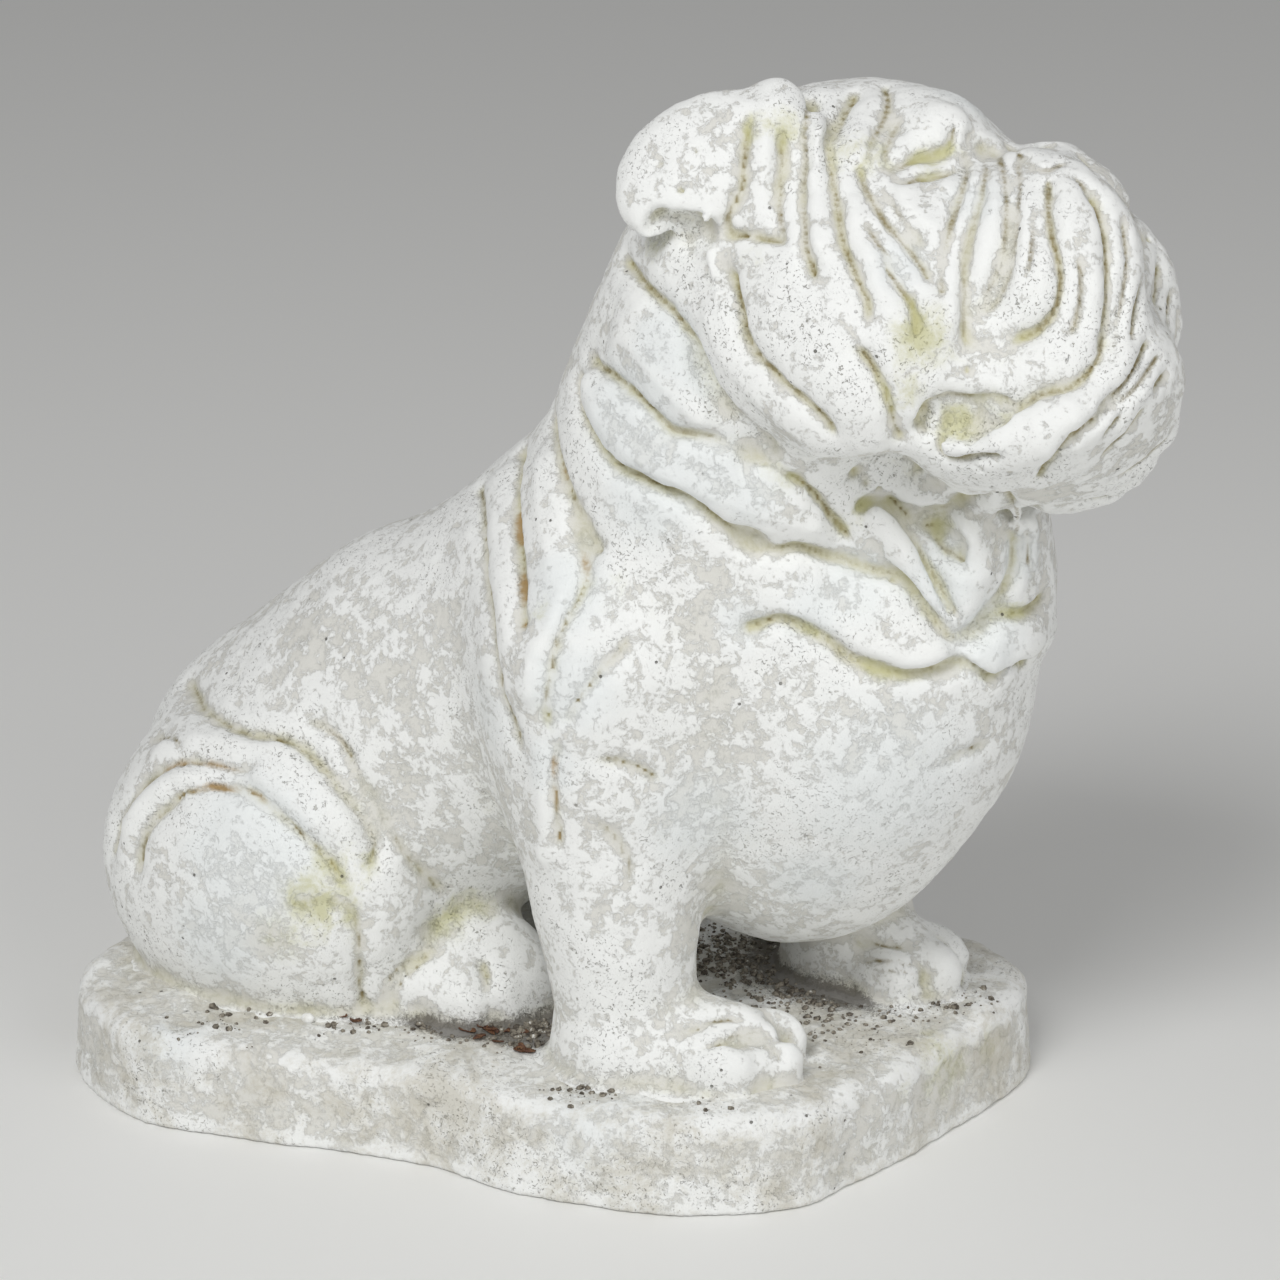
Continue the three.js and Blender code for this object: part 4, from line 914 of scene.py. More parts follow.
def new_mesh(name, points, faces, tones):
    """A smooth mesh object in metres with its tones as attributes."""
    mesh = bpy.data.meshes.new(name)
    mesh.vertices.add(len(points))
    mesh.vertices.foreach_set("co", (points * MM).astype(np.float32).ravel())
    sides = faces.shape[1]
    mesh.loops.add(faces.size)
    mesh.loops.foreach_set("vertex_index", faces.astype(np.int32).ravel())
    mesh.polygons.add(len(faces))
    mesh.polygons.foreach_set("loop_start", np.arange(0, faces.size, sides, dtype=np.int32))
    mesh.update(calc_edges=True)
    mesh.validate()
    mesh.shade_smooth()
    for tone_name, values in tones.items():
        layer = mesh.attributes.new(tone_name, "FLOAT", "POINT")
        layer.data.foreach_set("value", values.astype(np.float32))
    piece = bpy.data.objects.new(name, mesh)
    bpy.context.scene.collection.objects.link(piece)
    return piece


def settle(piece, material):
    """Says what a piece rides on and what it is made of, and hides the model's statue part."""
    piece.data.materials.append(material)
    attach(piece, "root")
    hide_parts(NODE)


FIGURE_LOW = (-230, -150, 20)
FIGURE_HIGH = (290, 170, 445)
FRONT_START = -20
FACE_START = 8
# The figure's pieces: name, corners, cell and what lies beyond the piece.
FIGURE_PIECES = [
    ("face_relief", (90, -70, 236), (276, 136, 444), 1.3, beyond_face),
    ("crown_relief", (24, -114, 236), (216, 140, 444), 1.5, beyond_crown),
    ("forequarters_relief", (-28, -112, 28), (206, 150, 410), 2.0, beyond_front),
    ("hindquarters_relief", (-214, -138, 28), (-12, 140, 300), 2.0, beyond_rear),
]
# The surface's grain: seed, wavelength and amount.
GRAIN_WAVES = [(11, 14, 0.5), (12, 6, 0.34), (13, 3.2, 0.28)]

# The line that the figure stands in. The plinth's wall keeps PLINTH_MARGIN outside it, less its wear.
STANDING_LINE = [
    (-175, 93), (-178, 20), (-177, -60), (-173, -96), (-153, -120), (-114, -135), (-70, -127), (-17, -111),
    (15, -105), (49, -105), (91, -96), (120, -83), (144, -62), (153, -38), (160, -9), (166, 38), (169, 68),
    (166, 91), (151, 110), (111, 121), (60, 119), (0, 115), (-61, 121), (-120, 129), (-156, 120),
]
PLINTH_MARGIN = 7
PLINTH_HEIGHT = 40
PLINTH_EDGE = 8
PLINTH_LEAN = 3
PLINTH_WEAR = 1.3
PLINTH_LOW = (-212, -154, -4)
PLINTH_HIGH = (200, 150, 48)
PLINTH_WAVES = [(21, 42, 1.5), (22, 17, 1.0), (23, 7, 0.6), (24, 3.6, 0.4)]
# Worn dips in the upper edge: place and radii.
PLINTH_CHIPS = [
    ((176, -14, 41), (10, 16, 4)),
    ((168, -46, 42), (12, 9, 4)),
    ((-186, -40, 42), (8, 14, 4)),
]
CHIP_BLEND = 3


def standing_curve():
    """The plinth's standing line as a closed run of points."""
    closed = np.array(STANDING_LINE[-1:] + STANDING_LINE + STANDING_LINE[:2], float)
    return np.concatenate([smooth_span(*closed[i:i + 4]) for i in range(len(STANDING_LINE))])


def wall_distance(x, y, line):
    """Distance from places in plan to a closed line, negative inside it."""
    places = np.stack([x.ravel(), y.ravel()], -1)
    least = np.full(len(places), 1e6)
    inside = np.zeros(len(places), bool)
    for a, b in zip(line, np.roll(line, -1, 0)):
        least = np.minimum(least, to_segment(places, a, b)[0])
        spans = (a[1] > places[:, 1]) != (b[1] > places[:, 1])
        rise = b[1] - a[1] if b[1] != a[1] else 1
        inside ^= spans & (places[:, 0] < a[0] + (places[:, 1] - a[1]) * (b[0] - a[0]) / rise)
    return np.where(inside, -least, least).reshape(x.shape)


def plinth_clay(cell):
    """The plinth in clay: a leaning wall, a rounded upper edge and a flat underside."""
    clay = Clay(PLINTH_LOW, PLINTH_HIGH, cell)
    x, y = np.meshgrid(clay.axes[0], clay.axes[1], indexing="ij")
    level = clay.axes[2][None, None, :]
    wall = wall_distance(x, y, standing_curve())[:, :, None]
    wall = wall - PLINTH_MARGIN + PLINTH_WEAR - PLINTH_LEAN * (1 - level / PLINTH_HEIGHT) + PLINTH_EDGE
    top = level - PLINTH_HEIGHT + PLINTH_EDGE + 0 * wall
    corner = np.sqrt(np.maximum(wall, 0) ** 2 + np.maximum(top, 0) ** 2)
    clay.data = (corner - PLINTH_EDGE + np.minimum(np.maximum(wall, top), 0)).astype(np.float32)
    for seed, wave, amount in PLINTH_WAVES:
        clay.roughen(seed, wave, amount)
    for place, radii in PLINTH_CHIPS:
        clay.ball(place, radii, (0, 0, 0), CHIP_BLEND, BODY, True)
    clay.data = np.maximum(clay.data, (-level).astype(np.float32))
    return clay


def small_ball(rounds=1):
    """The corners and faces of a ball of twenty faces, or in more rounds of more."""
    form = bmesh.new()
    bmesh.ops.create_icosphere(form, subdivisions=rounds, radius=1)
    corners = np.array([corner.co[:] for corner in form.verts])
    faces = np.array([[corner.index for corner in face.verts] for face in form.faces])
    form.free()
    return corners, faces


def scatter(rng, count, spots, clay, figure):
    """Places on the plinth's top round the given spots (x, y, spread, share), clear of the figure."""
    spots = np.array(spots, float)
    picks = rng.choice(len(spots), count, p=spots[:, 3] / spots[:, 3].sum())
    flat = spots[picks, :2] + rng.normal(0, 0.5, (count, 2)) * spots[picks, 2:3]
    places = np.concatenate([flat, np.full((count, 1), PLINTH_HEIGHT + 1.0)], 1)
    places = places[figure.sample(places) > 1]
    places = clay.snap(places)
    return places[places[:, 2] > PLINTH_HEIGHT - 3]


def gather(shapes):
    """Joins shapes, each points and faces, into one."""
    points = np.concatenate([shape[0] for shape in shapes])
    starts = np.cumsum([0] + [len(shape[0]) for shape in shapes[:-1]])
    faces = np.concatenate([shape[1] + start for shape, start in zip(shapes, starts)])
    return points, faces


# Where grit and leaves lie on the plinth: the place (x, y), the spread and the share.
GRIT_SPOTS = [
    (4, -50, 18, 7), (22, -56, 14, 5), (-14, -66, 16, 4), (-46, -84, 18, 1.2), (-90, -114, 24, 0.5),
    (66, 46, 26, 5), (40, 50, 24, 4), (100, 46, 24, 4), (96, 8, 26, 2.5), (130, 20, 26, 1.2),
    (66, -86, 16, 0.9), (104, -64, 14, 0.6), (20, 100, 60, 1), (-150, 100, 40, 0.6), (-168, 0, 20, 0.4),
    (150, 60, 18, 1),
]
LEAF_SPOTS = [
    (-4, -64, 7, 4), (12, -68, 8, 5), (26, -70, 7, 3), (-48, -86, 6, 2), (72, -84, 8, 0.8), (110, 6, 20, 0.6),
]
LITTER_SEED = 5
GRIT_FLATNESS = 0.7
GRIT_LIFT = 0.25
LEAF_ROWS = 6
LEAF_COLUMNS = 4
LEAF_HALF_THICKNESS = 0.18
LEAF_LIFT = 0.8
PEBBLE_SPOT = (-132.8, -152.4)
PEBBLE_RADII = (2.9, 2.5, 2.1)
PEBBLE_LIFT = 0.6
# How high dirt and painted contact shade creep up the figure, and how far over the plinth they reach from it.
SOIL_AND_SHADE_HEIGHT = 6
CONTACT_SHADE_REACH = 30
SOIL_LEAST = 0.22
SOIL_SHARE = 0.22


def broken_stones(rng, places, smallest, largest):
    """A small broken stone at each place, lying partly in the dirt."""
    corners, faces = small_ball()
    shapes = []
    for place in places:
        size = smallest + (largest - smallest) * rng.random() ** 3
        shape = corners * rng.uniform(0.7, 1.2, (len(corners), 1)) * (1, 1, GRIT_FLATNESS) * size
        spin = turn(rng.uniform(0, 360), rng.uniform(-25, 25), rng.uniform(-25, 25))
        shapes.append((shape @ spin.T + place + (0, 0, GRIT_LIFT * size), faces))
    return gather(shapes)


def pebble(rng, clay):
    """A smooth pebble lying on the plinth."""
    corners, faces = small_ball(4)
    place = clay.snap(clay.sight(PEBBLE_SPOT)[0])[0]
    uneven = 1 + 0.05 * np.sin(corners @ rng.uniform(-2, 2, (3, 3))).sum(1, keepdims=True)
    return corners * uneven * PEBBLE_RADII + place + (0, 0, PEBBLE_LIFT * PEBBLE_RADII[2]), faces


def leaf_scrap(rng, place, length):
    """A dry scrap of leaf: a curled sheet of two skins, ragged along its edge."""
    rows, columns = np.linspace(-1, 1, LEAF_ROWS), np.linspace(-1, 1, LEAF_COLUMNS)
    along, across = np.meshgrid(rows, columns, indexing="ij")
    ragged = rng.uniform(0.7, 1.1, LEAF_ROWS)[:, None]
    half_width = length * rng.uniform(0.2, 0.38) * np.sqrt(1.02 - along ** 2) * ragged
    curl = rng.uniform(0.2, 0.6) * length
    sheet = np.stack([along * length / 2, across * half_width, curl * across ** 2 * half_width / length], -1)
    sheet[..., 2] += 0.12 * curl * along ** 2 + rng.normal(0, 0.12, along.shape)
    half_thickness = (0, 0, LEAF_HALF_THICKNESS)
    skins = np.concatenate([sheet.reshape(-1, 3) + half_thickness, sheet.reshape(-1, 3) - half_thickness])
    spin = turn(rng.uniform(0, 360), rng.uniform(-22, 22), rng.uniform(-30, 30))
    return skins @ spin.T + place + (0, 0, LEAF_LIFT), np.array(leaf_faces(LEAF_ROWS, LEAF_COLUMNS))


def leaf_faces(rows, columns):
    """The faces of two skins of rows by columns corners, and of the rim between them."""
    count = rows * columns
    faces = []
    for i in range(rows - 1):
        for j in range(columns - 1):
            corner = i * columns + j
            ring = [corner, corner + columns, corner + columns + 1, corner + 1]
            faces.append(ring)
            faces.append([n + count for n in ring[::-1]])
    rim = list(range(columns))
    rim += [i * columns + columns - 1 for i in range(1, rows)]
    rim += [(rows - 1) * columns + j for j in range(columns - 2, -1, -1)]
    rim += [i * columns for i in range(rows - 2, 0, -1)]
    for one, two in zip(rim, rim[1:] + rim[:1]):
        faces.append([one, two, two + count, one + count])
    return faces


class Finish:
    """Lays out the nodes of one material."""

    def __init__(self, name):
        self.material = bpy.data.materials.new(name)
        self.material.use_nodes = True
        self.tree = self.material.node_tree
        self.shader = self.tree.nodes["Principled BSDF"]
        self.place = self.node("ShaderNodeTexCoord").outputs["Object"]

    def node(self, kind, inputs=None, **settings):
        node = self.tree.nodes.new(kind)
        for name, value in settings.items():
            setattr(node, name, value)
        for name, value in (inputs or {}).items():
            self.feed(node.inputs[name], value)
        return node

    def feed(self, socket, value):
        if isinstance(value, bpy.types.NodeSocket):
            self.tree.links.new(value, socket)
        else:
            socket.default_value = value

    def grain(self, wave, detail=3, roughness=0.6, distortion=0):
        """Cloudy noise whose lumps are wave millimetres across."""
        scale = 1 / (wave * MM)
        inputs = {"Vector": self.place, "Scale": scale, "Detail": detail, "Roughness": roughness}
        return self.node("ShaderNodeTexNoise", {**inputs, "Distortion": distortion}).outputs["Fac"]

    def cells(self, wave):
        """Distance from the nearest of a scatter of points that lie wave millimetres apart."""
        inputs = {"Vector": self.place, "Scale": 1 / (wave * MM)}
        return self.node("ShaderNodeTexVoronoi", inputs).outputs["Distance"]

    def tone(self, name):
        return self.node("ShaderNodeAttribute", attribute_name=name).outputs["Fac"]

    def band(self, value, low, high):
        """Nothing below low, all above high, and smooth between them."""
        inputs = {"Value": value, "From Min": low, "From Max": high}
        return self.node("ShaderNodeMapRange", inputs, interpolation_type="SMOOTHSTEP").outputs["Result"]

    def sum(self, a, b):
        return self.reckon("ADD", a, b)

    def times(self, a, b):
        return self.reckon("MULTIPLY", a, b)

    def reckon(self, kind, a, b):
        return self.node("ShaderNodeMath", {0: a, 1: b}, operation=kind).outputs[0]

    def mix(self, share, a, b):
        node = self.node("ShaderNodeMix", data_type="RGBA")
        self.feed(node.inputs[0], share)
        self.feed(node.inputs[6], a)
        self.feed(node.inputs[7], b)
        return node.outputs[2]

    def bump(self, height, distance, strength=1.0, below=None):
        inputs = {"Height": height, "Distance": distance * MM, "Strength": strength}
        if below:
            inputs["Normal"] = below
        return self.node("ShaderNodeBump", inputs).outputs["Normal"]


def linear(colour):
    """A colour given on screen, from 0 to 255, as the shader needs it."""
    share = np.array(colour) / 255
    mixed = np.where(share <= 0.04045, share / 12.92, ((share + 0.055) / 1.055) ** 2.4)
    return (*mixed, 1.0)


class CastStone(Finish):
    """White cast stone: a white crust on grey stone; film and painted shade, algae and dirt in the folds;
    dirt and painted contact shade at the feet; and air holes.
    """

    def __init__(self, name, colours, plinth=False):
        super().__init__(name)
        self.colours = colours
        self.colour = None
        self.fold, self.crease = self.tone("fold"), self.tone("crease")
        self.cloud = self.grain(42, 3, 0.55)
        self.blotch = self.grain(8, 6, 0.7, 0.3)
        self.flake = self.grain(3.2, 6, 0.78, 0.9)
        self.speck = self.grain(1.7, 3, 0.65, 1.4)
        crust, thick = self.lay_crust(0.77, 0.87) if plinth else self.lay_crust(0.74, 0.83)
        pit = self.lay_specks(thick)
        self.lay_film_and_fold_shade()
        self.lay_stains()
        if plinth:
            self.lay_grime()
        self.lay_dirt_and_contact_shade()
        hole = self.lay_air_holes()
        self.feed(self.shader.inputs["Base Color"], self.colour)
        self.roughen(crust, thick)
        self.raise_relief(crust, pit, hole)

    def lay(self, share, colour):
        self.colour = self.mix(share, self.colour, colour)

    def less(self, value, middle):
        return self.reckon("SUBTRACT", value, middle)

    def lay_crust(self, low, high):
        """The white crust stands on all that is raised, with ragged edges, and leaves the hollows bare."""
        stand = self.sum(self.times(self.blotch, 0.7), self.times(self.flake, 0.5))
        stand = self.sum(stand, self.times(self.cloud, 0.45))
        stand = self.sum(stand, self.times(self.fold, -0.45))
        stand = self.sum(stand, self.times(self.crease, -0.12))
        crust = self.band(stand, low, high)
        self.colour = self.mix(self.band(self.blotch, 0.4, 0.66), self.colours.stone, self.colours.stone_dark)
        self.lay(crust, self.colours.crust)
        smooth = self.sum(self.tone("smooth"), self.times(self.blotch, 0.5))
        thick = self.times(self.band(smooth, 0.35, 0.85), 0.65)
        self.lay(thick, self.colours.crust_cool)
        return crust, thick

    def lay_specks(self, thick):
        """Fine worm-like specks lie in some places and not in others."""
        where = self.band(self.sum(self.cloud, self.times(self.blotch, 0.35)), 0.66, 0.78)
        pit = self.times(self.band(self.speck, 0.60, 0.66), where)
        pit = self.times(pit, self.less(1.0, self.times(thick, 0.7)))
        self.lay(self.times(pit, 0.75), self.colours.speck)
        return pit

    def lay_film_and_fold_shade(self):
        """Folds get a yellow-grey colour that is partly film and partly painted shade, with a dark line of
        painted shade and dirt in the floor.
        """
        # painted shade with some film: yellow-grey that grows where the clay is fuller round a point, as in a
        # fold
        uneven = self.times(self.less(self.sum(self.blotch, self.flake), 1.0), 0.35)
        film_and_fold_shade = self.band(self.sum(self.fold, uneven), 0.0, 0.62)
        self.lay(self.times(film_and_fold_shade, 0.95), self.colours.film_and_fold_shade)
        # painted shade and dirt: a dark line along the floor of each carved crease
        broken = self.times(self.less(self.blotch, 0.5), 0.7)
        deep = self.band(self.sum(self.crease, broken), 0.36, 0.9)
        self.lay(self.times(deep, 0.95), self.colours.fold)

    def lay_stains(self):
        """Algae and ochre stains lie where the wet stays."""
        damp = self.sum(self.times(self.fold, 1.2), self.times(self.less(self.blotch, 0.5), 1.6))
        green = self.band(self.times(self.tone("algae"), self.sum(0.75, damp)), 0.25, 0.85)
        self.lay(self.times(green, 0.8), self.colours.algae)
        wet = self.sum(self.times(self.crease, 0.9), self.times(self.sum(0.2, damp), 0.9))
        rust = self.band(self.times(self.tone("ochre"), wet), 0.2, 0.8)
        self.lay(self.times(rust, 0.9), self.colours.ochre)

    def lay_grime(self):
        grime = self.sum(self.grain(30, 6, 0.72, 0.4), self.times(self.flake, 0.4))
        self.lay(self.times(self.band(grime, 0.62, 0.86), 0.6), self.colours.grime)

    def lay_dirt_and_contact_shade(self):
        """Dirt and painted contact shade lie where the figure meets the plinth."""
        uneven = self.times(self.less(self.sum(self.speck, self.blotch), 1.0), 0.8)
        dirt_and_contact_shade = self.band(self.sum(self.tone("soil_and_contact_shade"), uneven), 0.35, 0.75)
        self.lay(self.times(dirt_and_contact_shade, 0.8), self.colours.soil_and_contact_shade)

    def lay_air_holes(self):
        """Small air holes with dark floors."""
        hole = self.band(self.cells(9), 0.085, 0.05)
        hole = self.times(hole, self.band(self.grain(24, 2), 0.54, 0.6))
        self.lay(self.times(hole, 0.8), self.colours.hole)
        return hole

    def roughen(self, crust, thick):
        gloss = self.times(self.sum(self.times(crust, 0.5), thick), 0.16)
        self.feed(self.shader.inputs["Roughness"], self.less(0.9, gloss))
        self.shader.inputs["Specular IOR Level"].default_value = 0.3

    def raise_relief(self, crust, pit, hole):
        relief = self.sum(self.times(crust, 0.4), self.times(self.sum(self.blotch, self.flake), 0.6))
        relief = self.sum(relief, self.times(pit, -1.2))
        relief = self.sum(relief, self.times(hole, -3.0))
        coarse = self.bump(relief, 0.4, 0.9)
        fine = self.bump(self.grain(0.6, 3, 0.7), 0.1, 0.6, coarse)
        self.feed(self.shader.inputs["Normal"], fine)


def grit_stone(colours):
    """Grit and crumbs of soil, from near black to pale grey."""
    f = Finish("grit")
    kind = f.grain(3.2, 2, 0.8)
    colour = f.mix(f.band(kind, 0.35, 0.6), colours.soil_and_contact_shade, colours.grit)
    colour = f.mix(f.band(kind, 0.6, 0.72), colour, colours.stone)
    f.feed(f.shader.inputs["Base Color"], colour)
    f.feed(f.shader.inputs["Roughness"], f.sum(0.75, f.times(kind, 0.2)))
    f.feed(f.shader.inputs["Normal"], f.bump(f.grain(0.5, 3), 0.1))
    return f.material


def dry_leaf(colours):
    """Dry leaf, dark red-brown with paler streaks."""
    f = Finish("dry_leaf")
    streak = f.grain(1.6, 4, 0.7, 1.2)
    colour = f.mix(f.band(streak, 0.35, 0.7), colours.leaf, colours.leaf_pale)
    f.feed(f.shader.inputs["Base Color"], colour)
    f.feed(f.shader.inputs["Roughness"], f.sum(0.5, f.times(streak, 0.3)))
    f.feed(f.shader.inputs["Normal"], f.bump(streak, 0.2))
    return f.material


def white_pebble(colours):
    """A pale quartz pebble with faint clouding."""
    f = Finish("pebble")
    cloud = f.grain(2.5, 3)
    f.feed(f.shader.inputs["Base Color"], f.mix(f.band(cloud, 0.4, 0.7), colours.crust, colours.stone))
    f.feed(f.shader.inputs["Roughness"], f.sum(0.4, f.times(cloud, 0.3)))
    f.feed(f.shader.inputs["Normal"], f.bump(cloud, 0.2))
    return f.material


def floor_finish(colours):
    """A matt pale floor."""
    f = Finish("studio_floor")
    f.feed(f.shader.inputs["Base Color"], f.mix(f.times(f.grain(60, 2), 0.04), colours.floor, colours.stone))
    f.shader.inputs["Roughness"].default_value = 0.9
    return f.material


def colour_property(name, description, screen):
    return FloatVectorProperty(
        name=name, description=description, subtype="COLOR", size=4, min=0, max=1, default=linear(screen)
    )


class StatueColours(PropertyGroup):
    crust: colour_property("Crust", "White crust on all that stands out", (250, 251, 249))
    crust_cool: colour_property("Cool crust", "Crust where it is smooth and thick", (240, 244, 244))
    stone: colour_property("Stone", "Bare stone", (230, 229, 223))
    stone_dark: colour_property("Stone, dark", "Darker cloud of the bare stone", (208, 207, 199))
    speck: colour_property("Speck", "Fine grey specks", (166, 164, 154))
    # painted shade in the folds, partly a real yellow-grey film
    film_and_fold_shade: colour_property("Film", "Thin film on the sides of the folds", (203, 199, 160))
    # painted shade and dirt at the floor of the deep folds
    fold: colour_property("Fold", "Floor of the deep folds", (138, 124, 84))
    algae: colour_property("Algae", "Yellow-green growth", (202, 200, 152))
    ochre: colour_property("Ochre", "Brown stain in the folds", (176, 146, 98))
    grime: colour_property("Grime", "Grey-brown stain on the plinth", (198, 192, 174))
    # dirt and painted contact shade at the feet, also the dark crumbs of the grit
    soil_and_contact_shade: colour_property("Soil", "Dirt round the feet", (82, 75, 66))
    grit: colour_property("Grit", "Small stones in the dirt", (150, 143, 130))
    hole: colour_property("Air hole", "Floor of the air holes", (84, 80, 68))
    leaf: colour_property("Leaf", "Dry leaf", (74, 36, 28))
    leaf_pale: colour_property("Leaf, pale", "Pale streaks of the dry leaf", (132, 98, 66))
    floor: colour_property("Floor", "Studio floor", (244, 244, 242))


class StatueSizes(PropertyGroup):
    study_cell: FloatProperty(
        name="Study cell", description="Cell of the coarse clay in millimetres", default=3.2, min=2, max=8
    )
    fineness: FloatProperty(
        name="Fineness", description="Scales the cells of the finished clay", default=1.0, min=0.6, max=3
    )
    plinth_cell: FloatProperty(
        name="Plinth cell", description="Cell of the plinth's clay in millimetres", default=1.9, min=1, max=5
    )
    grit_count: IntProperty(name="Grit", description="Number of grains on the plinth", default=3000, min=0)
    leaf_count: IntProperty(name="Leaves", description="Number of scraps of leaf", default=22, min=0)
    grit_smallest: FloatProperty(name="Smallest grain", description="Radius in millimetres", default=0.35)
    grit_largest: FloatProperty(name="Largest grain", description="Radius in millimetres", default=1.9)
    leaf_length: FloatProperty(name="Leaf length", description="Length in millimetres", default=5.5)


class StageSizes(PropertyGroup):
    lens: FloatProperty(name="Lens", description="Focal length", default=SIGHT_LENS, unit="CAMERA")
    key_power: FloatProperty(name="Key light", description="Power in watts", default=41, min=0)
    fill_power: FloatProperty(name="Fill light", description="Power in watts", default=13, min=0)
    sky: FloatProperty(name="Sky", description="Strength of the soft light all round", default=0.28, min=0)
    floor_side: FloatProperty(
        name="Floor", description="Side of the floor", default=14, min=1, unit="LENGTH", subtype="DISTANCE"
    )


# The clay that the operators share.
SHARED = {}


def study(context):
    """The coarse figure, made once and shared by the operators."""
    if "study" not in SHARED:
        SHARED["study"] = Study(context.scene.statue_sizes.study_cell * coarseness())
    return SHARED["study"]


def coarseness():
    return 1.0


class CarveFigure(Operator):
    """Carve the dog: head, forequarters and hindquarters"""

    bl_idname = "statue.carve_figure"
    bl_label = "Carve the dog"

    def execute(self, context):
        sizes = context.scene.statue_sizes
        figure = study(context)
        dabs = {
            "algae": dabs_on(figure.clay, ALGAE_DABS),
            "ochre": dabs_on(figure.clay, OCHRE_DABS),
            "smooth": dabs_on(figure.clay, SMOOTH_DABS),
        }
        stone = CastStone("weathered_stone", context.scene.statue_colours).material
        for name, low, high, cell, beyond in FIGURE_PIECES:
            clay = Clay(low, high, cell * sizes.fineness * coarseness())
            masses(clay)
            for tool, cut in figure.cuts:
                getattr(clay, tool)(*cut)
            for seed, wave, amount in GRAIN_WAVES:
                clay.roughen(seed, wave, amount)
            root(clay)
            shading = Tones(clay, dabs)
            keep(clay, beyond(clay))
            points, faces = clay.skin()
            tones = shading.at(points)
            # dirt and painted contact shade where the figure meets the plinth
            tones["soil_and_contact_shade"] = foot_soil_and_shade(points)
            settle(new_mesh(name, points, faces, tones), stone)
        return {"FINISHED"}


def foot_soil_and_shade(points):
    """Dirt and painted contact shade creep up the figure where it meets the plinth, darker towards the
    bottom.
    """
    return litter(points) * np.exp(-np.maximum(points[:, 2] - PLINTH_HEIGHT, 0) / SOIL_AND_SHADE_HEIGHT)


def litter(points):
    """How thickly the dirt lies in plan, from nearly none to all."""
    total = np.zeros(len(points))
    for x, y, spread, share in GRIT_SPOTS:
        away = (points[:, 0] - x) ** 2 + (points[:, 1] - y) ** 2
        total += SOIL_SHARE * share * np.exp(-away / spread ** 2)
    return np.clip(SOIL_LEAST + total, 0, 1)


class CastPlinth(Operator):
    """Cast the plinth under the dog"""

    bl_idname = "statue.cast_plinth"
    bl_label = "Cast the plinth"

    def execute(self, context):
        sizes = context.scene.statue_sizes
        clay = plinth_clay(sizes.plinth_cell * coarseness())
        SHARED["plinth"] = clay
        points, faces = clay.skin()
        stains = {name: dabs_on(clay, drawn) for name, drawn in PLINTH_STAINS.items()}
        tones = Tones(clay, stains).at(points)
        # painted contact shade with dirt: the plinth's top is darker near the figure
        near = study(context).clay.sample(points + (0, 0, 3))
        on_top = ramp(points[:, 2], PLINTH_HEIGHT - 6, PLINTH_HEIGHT - 2)
        tones["soil_and_contact_shade"] = on_top * litter(points) * np.clip(1.1 - near / CONTACT_SHADE_REACH, 0, 1)
        stone = CastStone("weathered_plinth", context.scene.statue_colours, True).material
        settle(new_mesh("plinth_relief", points, faces, tones), stone)
        return {"FINISHED"}


class StrewGrit(Operator):
    """Strew grit, scraps of leaf and a pebble on the plinth"""

    bl_idname = "statue.strew_grit"
    bl_label = "Strew grit and leaves"

    def execute(self, context):
        if "plinth" not in SHARED:
            raise RuntimeError("Cast the plinth first")
        sizes = context.scene.statue_sizes
        colours = context.scene.statue_colours
        figure = study(context).clay
        rng = np.random.default_rng(LITTER_SEED)
        places = scatter(rng, sizes.grit_count, GRIT_SPOTS, SHARED["plinth"], figure)
        grit = broken_stones(rng, places, sizes.grit_smallest, sizes.grit_largest)
        settle(new_mesh("grit", *grit, {}), grit_stone(colours))
        places = scatter(rng, sizes.leaf_count, LEAF_SPOTS, SHARED["plinth"], figure)
        scraps = [leaf_scrap(rng, place, sizes.leaf_length * rng.uniform(0.5, 1.3)) for place in places]
        settle(new_mesh("leaf_scraps", *gather(scraps), {}), dry_leaf(colours))
        settle(new_mesh("pebble", *pebble(rng, SHARED["plinth"]), {}), white_pebble(colours))
        return {"FINISHED"}


# The lights, in metres.
KEY_PLACE = (0.3, -2.1, 2.3)
KEY_SIDE = 1.1
FILL_PLACE = (2.3, -0.8, 1.2)
FILL_SIDE = 1.6


class SetStage(Operator):
    """Lay the floor and set the lights and the camera"""

    bl_idname = "statue.set_stage"
    bl_label = "Set the stage"

    def execute(self, context):
        scene = context.scene
        sizes = scene.stage_sizes
        half = sizes.floor_side / 2
        corners = np.array([(-half, -half, 0), (half, -half, 0), (half, half, 0), (-half, half, 0)]) / MM
        floor = new_mesh("studio_floor", corners, np.array([[0, 1, 2, 3]]), {})
        floor.data.materials.append(floor_finish(scene.statue_colours))
        soft_light("key", KEY_PLACE, KEY_SIDE, sizes.key_power)
        soft_light("fill", FILL_PLACE, FILL_SIDE, sizes.fill_power)
        scene.world = bpy.data.worlds.new("studio")
        scene.world.use_nodes = True
        sky = scene.world.node_tree.nodes["Background"]
        sky.inputs["Color"].default_value = (1, 1, 1, 1)
        sky.inputs["Strength"].default_value = sizes.sky
        scene.view_settings.view_transform = "Standard"
        scene.camera = camera(sizes.lens)
        return {"FINISHED"}


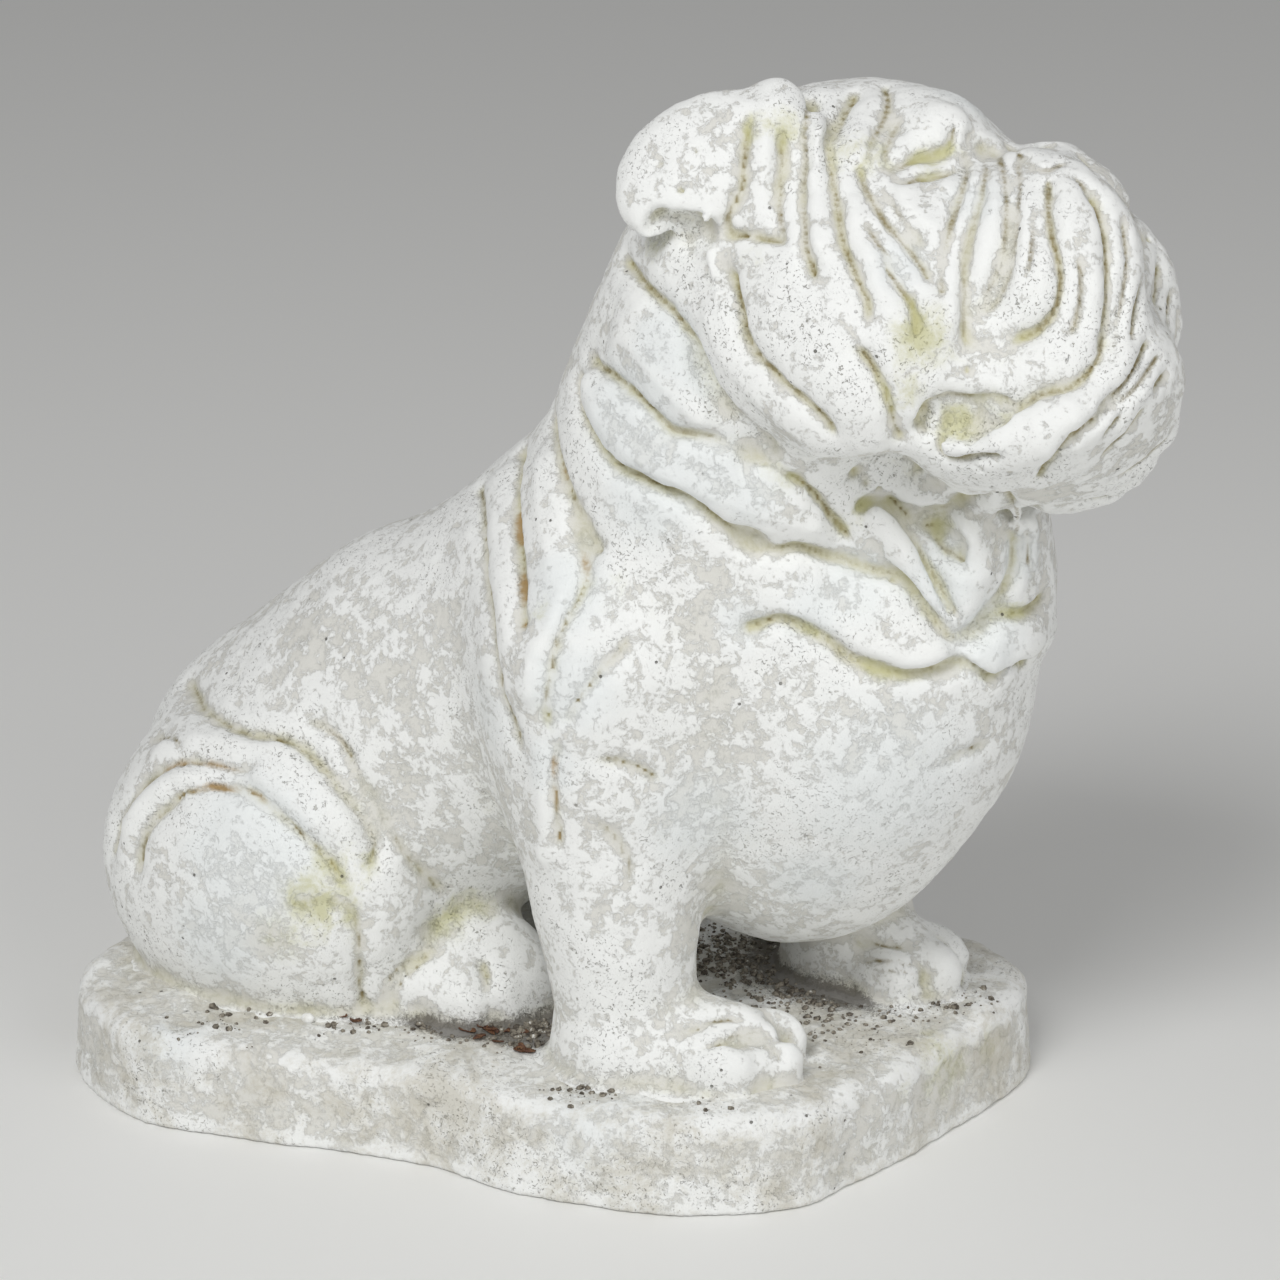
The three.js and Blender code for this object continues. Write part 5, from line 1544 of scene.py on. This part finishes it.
def soft_light(name, place, side, power):
    light = bpy.data.lights.new(name, "AREA")
    light.shape = "SQUARE"
    light.size = side
    light.energy = power
    lamp = bpy.data.objects.new(name, light)
    lamp.location = place
    lamp.rotation_euler = (Vector(SIGHT_TARGET) * MM - Vector(place)).to_track_quat("-Z", "Y").to_euler()
    bpy.context.scene.collection.objects.link(lamp)


def camera(lens):
    """The camera looks along the drawing plane's line of sight."""
    data = bpy.data.cameras.new("camera")
    data.lens = lens
    data.sensor_width = SENSOR_WIDTH
    data.clip_end = 60
    view = bpy.data.objects.new("camera", data)
    view.location = Vector(EYE) * MM
    view.rotation_euler = Vector(-BACK).to_track_quat("-Z", "Y").to_euler()
    bpy.context.scene.collection.objects.link(view)
    return view


class StatuePanel(Panel):
    """Lists the steps that make the statue, with their sizes and colours"""

    bl_idname = "STATUE_PT_panel"
    bl_label = "Garden Statue"
    bl_space_type = "VIEW_3D"
    bl_region_type = "UI"
    bl_category = "Statue"

    def draw(self, context):
        for step in STEPS:
            self.layout.operator(step.bl_idname)
        for group in GROUPS:
            settings = getattr(context.scene, group)
            for name in settings.bl_rna.properties.keys():
                if name not in ("rna_type", "name"):
                    self.layout.prop(settings, name)


STEPS = (CarveFigure, CastPlinth, StrewGrit, SetStage)
GROUPS = {"statue_colours": StatueColours, "statue_sizes": StatueSizes, "stage_sizes": StageSizes}


def register():
    for group in GROUPS.values():
        bpy.utils.register_class(group)
    for step in STEPS:
        bpy.utils.register_class(step)
    bpy.utils.register_class(StatuePanel)
    for name, group in GROUPS.items():
        setattr(bpy.types.Scene, name, PointerProperty(type=group))


def unregister():
    for name in GROUPS:
        delattr(bpy.types.Scene, name)
    for kind in (StatuePanel, *STEPS, *GROUPS.values()):
        bpy.utils.unregister_class(kind)


def main():
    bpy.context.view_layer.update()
    register()
    bpy.ops.statue.carve_figure()
    bpy.ops.statue.cast_plinth()
    bpy.ops.statue.strew_grit()
    bpy.ops.statue.set_stage()


if __name__ == "__main__":
    main()
